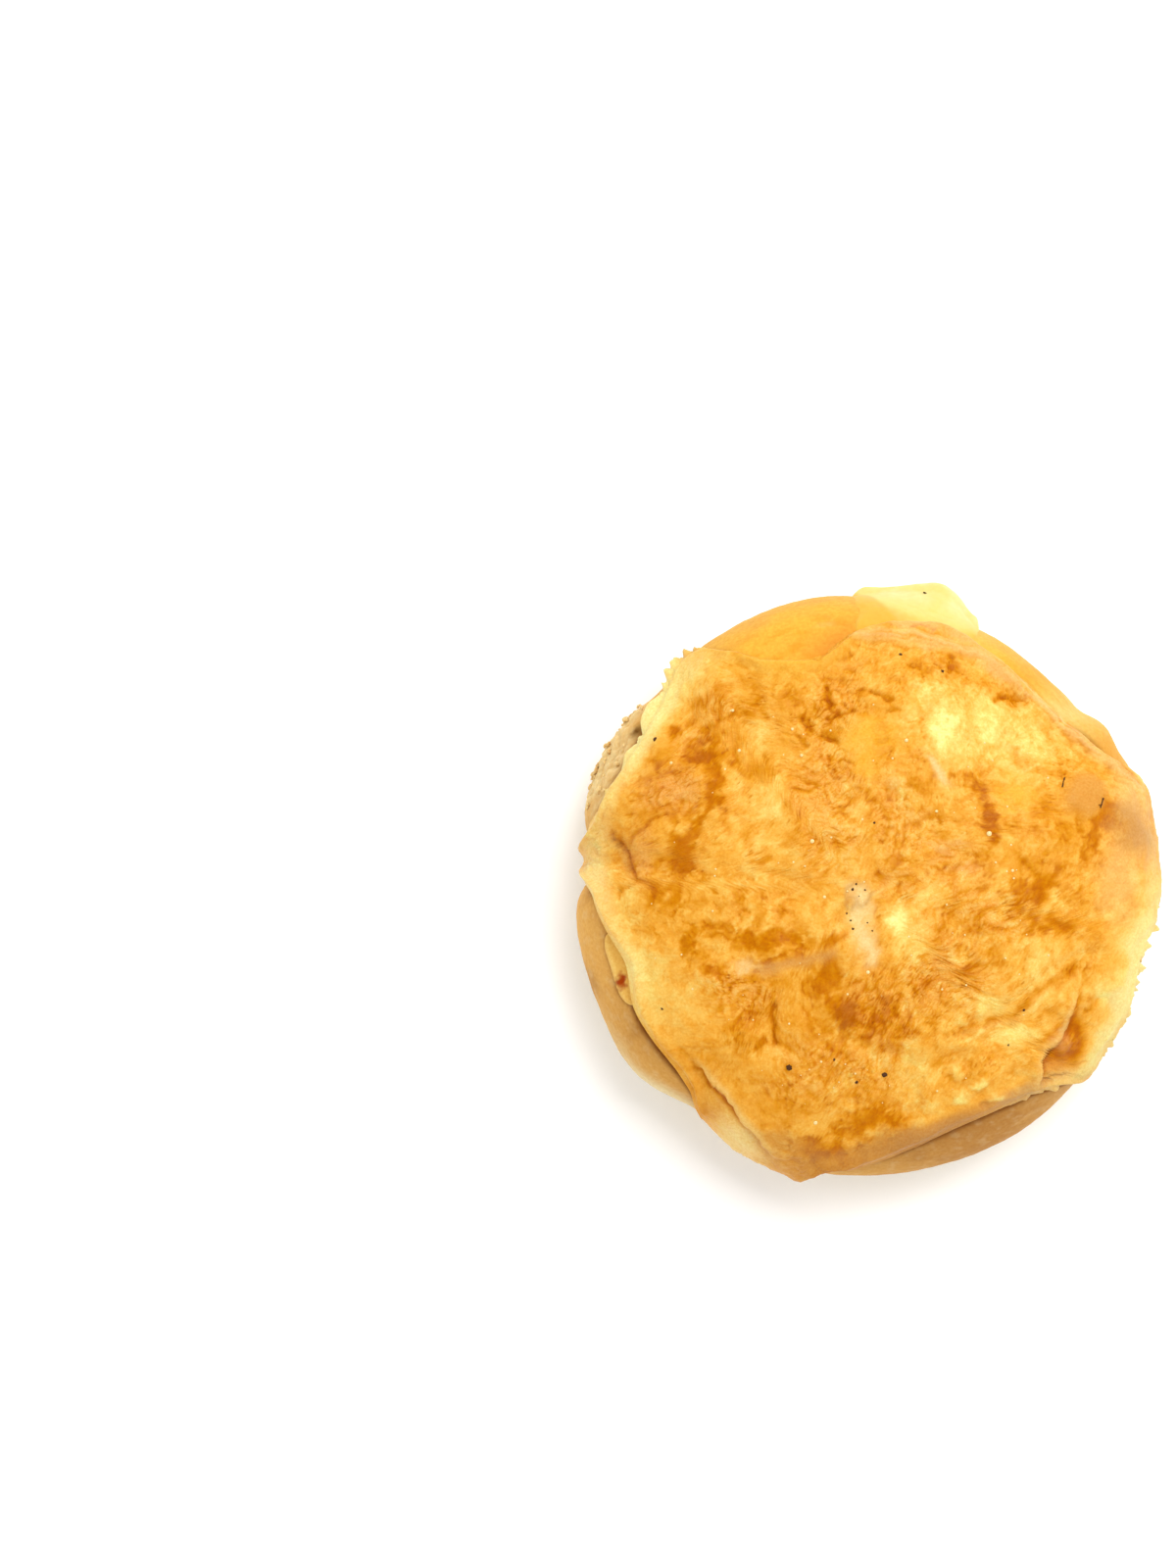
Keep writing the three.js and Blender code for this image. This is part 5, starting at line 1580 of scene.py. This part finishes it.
def make_run():
    degrees, phi, up, in_film, full = run_grid()
    swell = np.sin(np.pi * up) ** RUN_SWELL_POWER
    thickness = lerp(RUN_EDGE, RUN_THICKNESS, full * swell) * (1 + sum_of_bells(degrees, RUN_LEAN))
    soft = RUN_SOFT * round_noise(degrees, bread_length(phi), *RUN_NOISE)
    film = RUN_FILM + RUN_FILM_SOFT * soft
    rise = lerp(CHEESE_GAP + thickness + soft, film, smoothstep(up, RUN_FILM_FROM, 1))
    ragged = slope_noise(phi * FILM_TEETH, 0 * phi + FILM_TEETH_ROW, SEEDS["run_film"])
    kept = full + FILM_RAGGED * ragged * (1 - full)
    sinking = np.maximum(smoothstep(1 - 2 * up, RUN_SINKS_FROM, 1), fading(kept, *FILM_SINKS))
    base = bread_point(degrees, phi)
    normal = bread_normal(degrees, phi)
    upper = base + normal * lerp(rise, -RUN_SUNK / 2, sinking)[..., None]
    points, faces, used = closed_sheet(upper, base - normal * RUN_SUNK, 1, 0)
    tint = run_colour(degrees, phi, up, in_film, kept, soft)
    material = food_material("pale_cheese", RUN_LOOK)
    piece = make_piece("run", points, faces, "pale_cheese", material, **sheet_marks(used, tint=tint))
    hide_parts("cheese_run")
    return run_speck(degrees, phi, upper)


def run_colour(degrees, phi, up, in_film, kept, soft):
    blush = smoothstep(round_noise(degrees, bread_length(phi), *BLUSH_NOISE), *BLUSH_FADE)
    edge_at, edge_phi, edge_slope = RUN_GOLD_EDGE
    above = edge_phi + edge_slope * (degrees - edge_at) - np.degrees(phi)
    marks = {
        "blush": blush,
        "top": smoothstep(up, *TOP_FADE),
        "film": smoothstep(in_film + BLUSH_IN_FILM * blush, *FILM_FADE),
        "film_end": in_film * fading(kept, *FILM_END_FADE),
        "blanket_edge_shade": smoothstep(in_film, *FILM_BLANKET_SHADE_FADE) * bell(degrees, *FILM_BLANKET_SHADE),
        "crust": smoothstep(above + RUN_GOLD_SWAY * soft, *RUN_GOLD_FADE),
    }
    return layered(plain_tint(RUN_YELLOW, phi.shape), RUN_STAINS, marks)


def run_speck(degrees, phi, upper):
    """Place, outward direction and radius of the burnt speck on the run."""
    at_degrees, at_phi, radius = RUN_SPECK
    nearest = np.argmin((degrees - at_degrees) ** 2 + np.degrees(phi - at_phi) ** 2)
    direction = bread_normal(np.array(at_degrees), np.array(at_phi))
    return rows_of(upper)[nearest], direction, radius


def unit_ball():
    """Points and triangles of a ball of radius 1."""
    shape = bmesh.new()
    bmesh.ops.create_icosphere(shape, subdivisions=BALL_SUBDIVISIONS, radius=1)
    points = np.array([corner.co for corner in shape.verts])
    triangles = np.array([[corner.index for corner in face.verts] for face in shape.faces])
    shape.free()
    return points, triangles


def lumps(places, normals, radii, height, unevenness, seed):
    """Points and faces of small uneven lumps, each on a place, with a height as a share of its radius."""
    draw = np.random.default_rng(seed)
    ball, triangles = unit_ball()
    points = []
    faces = []
    for k, (place, normal, radius) in enumerate(zip(places, normals, radii)):
        side = unit(np.cross(normal, LUMP_ASIDE))
        axes = np.array([side, np.cross(normal, side), normal * height])
        x, y, z = (LUMP_FINENESS * ball + draw.uniform(0, LUMP_NOISE_SPAN, 3)).T
        noise = slope_noise(x, y, seed) + slope_noise(y, z, seed + 1) + slope_noise(z, x, seed + 2)
        points.append(place + radius * (ball * (1 + unevenness * noise)[:, None]) @ axes)
        faces += (triangles + k * len(ball)).tolist()
    return np.concatenate(points), faces


def on_cheese(skin, upper, spots):
    """Places and directions of the cheese's face at spots seen from above."""
    flat = rows_of(upper)
    nearest = [np.argmin(np.hypot(flat[:, 0] - x, flat[:, 1] - y)) for x, y, _ in spots]
    places = np.array([(x, y, flat[k, 2]) for (x, y, _), k in zip(spots, nearest)])
    return places, bread_normal(skin.degrees.ravel()[nearest], skin.phi.ravel()[nearest])


def crack_specks():
    """Specks in rows along the cracks."""
    specks = []
    for line, radius in CRACKS:
        for (x0, y0), (x1, y1) in zip(line, line[1:]):
            count = int(np.hypot(x1 - x0, y1 - y0) / CRACK_STEP) + 1
            specks += [(lerp(x0, x1, k / count), lerp(y0, y1, k / count), radius) for k in range(count)]
    return specks


def make_specks(skin, upper, extra_speck):
    specks = [*SPECKS, *crack_specks()]
    places, normals = on_cheese(skin, upper, specks)
    extra_place, extra_normal, extra_radius = extra_speck
    radii = [*(radius for *_, radius in specks), extra_radius]
    points, faces = lumps([*places, extra_place], [*normals, extra_normal], radii, *SPECK_LUMPS)
    material = plain_material("burnt", linear(SPECK_BROWN), *SPECK_LOOK)
    make_piece("burnt_specks", points, faces, "browned_cheese", material)


def make_beads(skin, upper):
    """Beads of oil: the ones seen, and finer ones scattered over the middle."""
    draw = np.random.default_rng(SEEDS["beads"])
    turn = draw.uniform(0, 2 * np.pi, FINE_BEADS)
    far = FINE_BEAD_REACH * np.sqrt(draw.uniform(0, 1, FINE_BEADS))
    fine = zip(far * np.cos(turn), far * np.sin(turn), draw.uniform(*FINE_BEAD_RADII, FINE_BEADS))
    beads = [*OIL_BEADS, *fine]
    places, normals = on_cheese(skin, upper, beads)
    points, faces = lumps(places, normals, [radius for *_, radius in beads], *BEAD_LUMPS)
    material = plain_material("oil", linear(BEAD_GOLD), *BEAD_LOOK)
    make_piece("oil_beads", points, faces, "browned_cheese", material)


def make_crumbs(material):
    """Loose crumb that clings to the torn patches."""
    draw = np.random.default_rng(SEEDS["crumbs"])
    scatter = draw.normal(0, CRUMB_SPREAD, (2, len(TORN_PATCHES) * CRUMB_COUNT))
    aside, down = np.clip(scatter, -CRUMB_LIMIT, CRUMB_LIMIT)
    middle, spread, _ = np.repeat(TORN_PATCHES, CRUMB_COUNT, axis=0).T
    degrees = middle + spread * aside
    phi = RIGHT_ANGLE + TORN_HEIGHT * down
    radii = lerp(*CRUMB_RADII, draw.uniform(0, 1, len(degrees)) ** 2)
    places = bread_shape(degrees, phi, np.zeros(len(degrees)))
    points, faces = lumps(places, bread_normal(degrees, phi), radii, *CRUMB_LUMPS)
    shade = np.repeat(draw.uniform(0, 1, len(degrees)), len(points) // len(degrees))
    tint = tinted(plain_tint(CRUMB_CREAM, shade.shape), CRUMB_SHADE, CRUMB_SHADING * shade)
    make_piece("crumbs", points, faces, "bread", material, tint=tint)


def lobe_fullness(degrees):
    """0 at the two ends of the lobe, 1 in its middle."""
    middle, half = (LOBE_FROM + LOBE_TO) / 2, (LOBE_TO - LOBE_FROM) / 2
    return arch(degrees - middle, half)


def lobe_edge(degrees):
    return cheese_end(degrees) + np.radians(LOBE_REACH) * lobe_fullness(degrees)


def make_lobe(material):
    """A thin flap of cheese that slid out from under the blanket's edge, with a burnt red hollow in it."""
    columns, rows = LOBE_STEPS
    degrees = np.linspace(LOBE_FROM, LOBE_TO, columns + 1)[None, :]
    out = np.linspace(0, 1, rows + 1)[:, None]
    phi = lerp(cheese_end(degrees) - np.radians(LOBE_TUCK), lobe_edge(degrees), out)
    degrees = np.broadcast_to(degrees, phi.shape)
    rim = hump(out - LOBE_RIM_AT, LOBE_RIM_WIDTH) * lobe_fullness(degrees)
    base, normal = bread_point(degrees, phi), bread_normal(degrees, phi)
    at_x, at_y, half_width, half_height = LOBE_HOLLOW
    x, y = pushed(base[..., 0], base[..., 1], LOBE_PUSHES)
    burnt = fading(np.hypot((x - at_x) / half_width, (y - at_y) / half_height), *LOBE_HOLLOW_FADE)
    rise = LOBE_THICKNESS * lerp(LOBE_THIN, 1, rim) - LOBE_HOLLOW_DEPTH * burnt
    upper = base + normal * rise[..., None]
    points, faces, used = closed_sheet(upper, base - normal * LOBE_SUNK, 1, 0)
    tint = tinted(plain_tint(LOBE_TAN, phi.shape), LOBE_RIM, LOBE_RIM_SHARE * rim)
    tint = tinted(tint, BURNT_RED, burnt)
    marks = sheet_marks(used, tint=tint, gloss=burnt[..., None])
    make_piece("lobe", points, faces, "browned_cheese", material, **marks)


def make_floor():
    bpy.ops.mesh.primitive_plane_add(size=FLOOR_SIZE)
    floor = bpy.context.object
    floor.name = "floor"
    floor.data.materials.append(plain_material("white_table", FLOOR_WHITE, *FLOOR_LOOK))


def make_camera():
    width, height = IMAGE_SIZE
    camera = bpy.data.objects.new("camera", bpy.data.cameras.new("camera"))
    bpy.context.scene.collection.objects.link(camera)
    across = AXIS[0] + (width / 2 - ROLL_AT[0]) / PIXELS_PER_MM
    up = AXIS[1] + (ROLL_AT[1] - height / 2) / PIXELS_PER_MM
    camera.location = Vector((across, up, WAIST_HEIGHT + CAMERA_HEIGHT)) * MM
    camera.data.sensor_width = SENSOR
    camera.data.lens = SENSOR * CAMERA_HEIGHT / (height / PIXELS_PER_MM)
    bpy.context.scene.camera = camera


def make_sky():
    """Even white light from all round, stronger near the horizon."""
    world = bpy.data.worlds.new("studio")
    world.use_nodes = True
    bpy.context.scene.world = world
    tree = world.node_tree
    back = tree.nodes["Background"]
    place = tree.nodes.new("ShaderNodeTexCoord")
    split = tree.nodes.new("ShaderNodeSeparateXYZ")
    tree.links.new(place.outputs["Generated"], split.inputs["Vector"])
    strength = range_node(tree, split.outputs["Z"], (0, 1), (SKY_AT_HORIZON, SKY_OVERHEAD))
    tree.links.new(strength, back.inputs["Strength"])
    back.inputs["Color"].default_value = (1, 1, 1, 1)
    bpy.context.scene.view_settings.view_transform = "Standard"


def make_softbox():
    lamp = bpy.data.lights.new("softbox", "AREA")
    lamp.size = SOFTBOX_SIZE
    lamp.energy = SOFTBOX_POWER
    softbox = bpy.data.objects.new("softbox", lamp)
    bpy.context.scene.collection.objects.link(softbox)
    softbox.location = SOFTBOX_AT
    softbox.rotation_euler = (-softbox.location).to_track_quat("-Z", "Y").to_euler()


AXIS = frame_axis()
make_camera()
make_sky()
make_softbox()
make_floor()
make_crumbs(make_bread())
make_cheese(make_run())
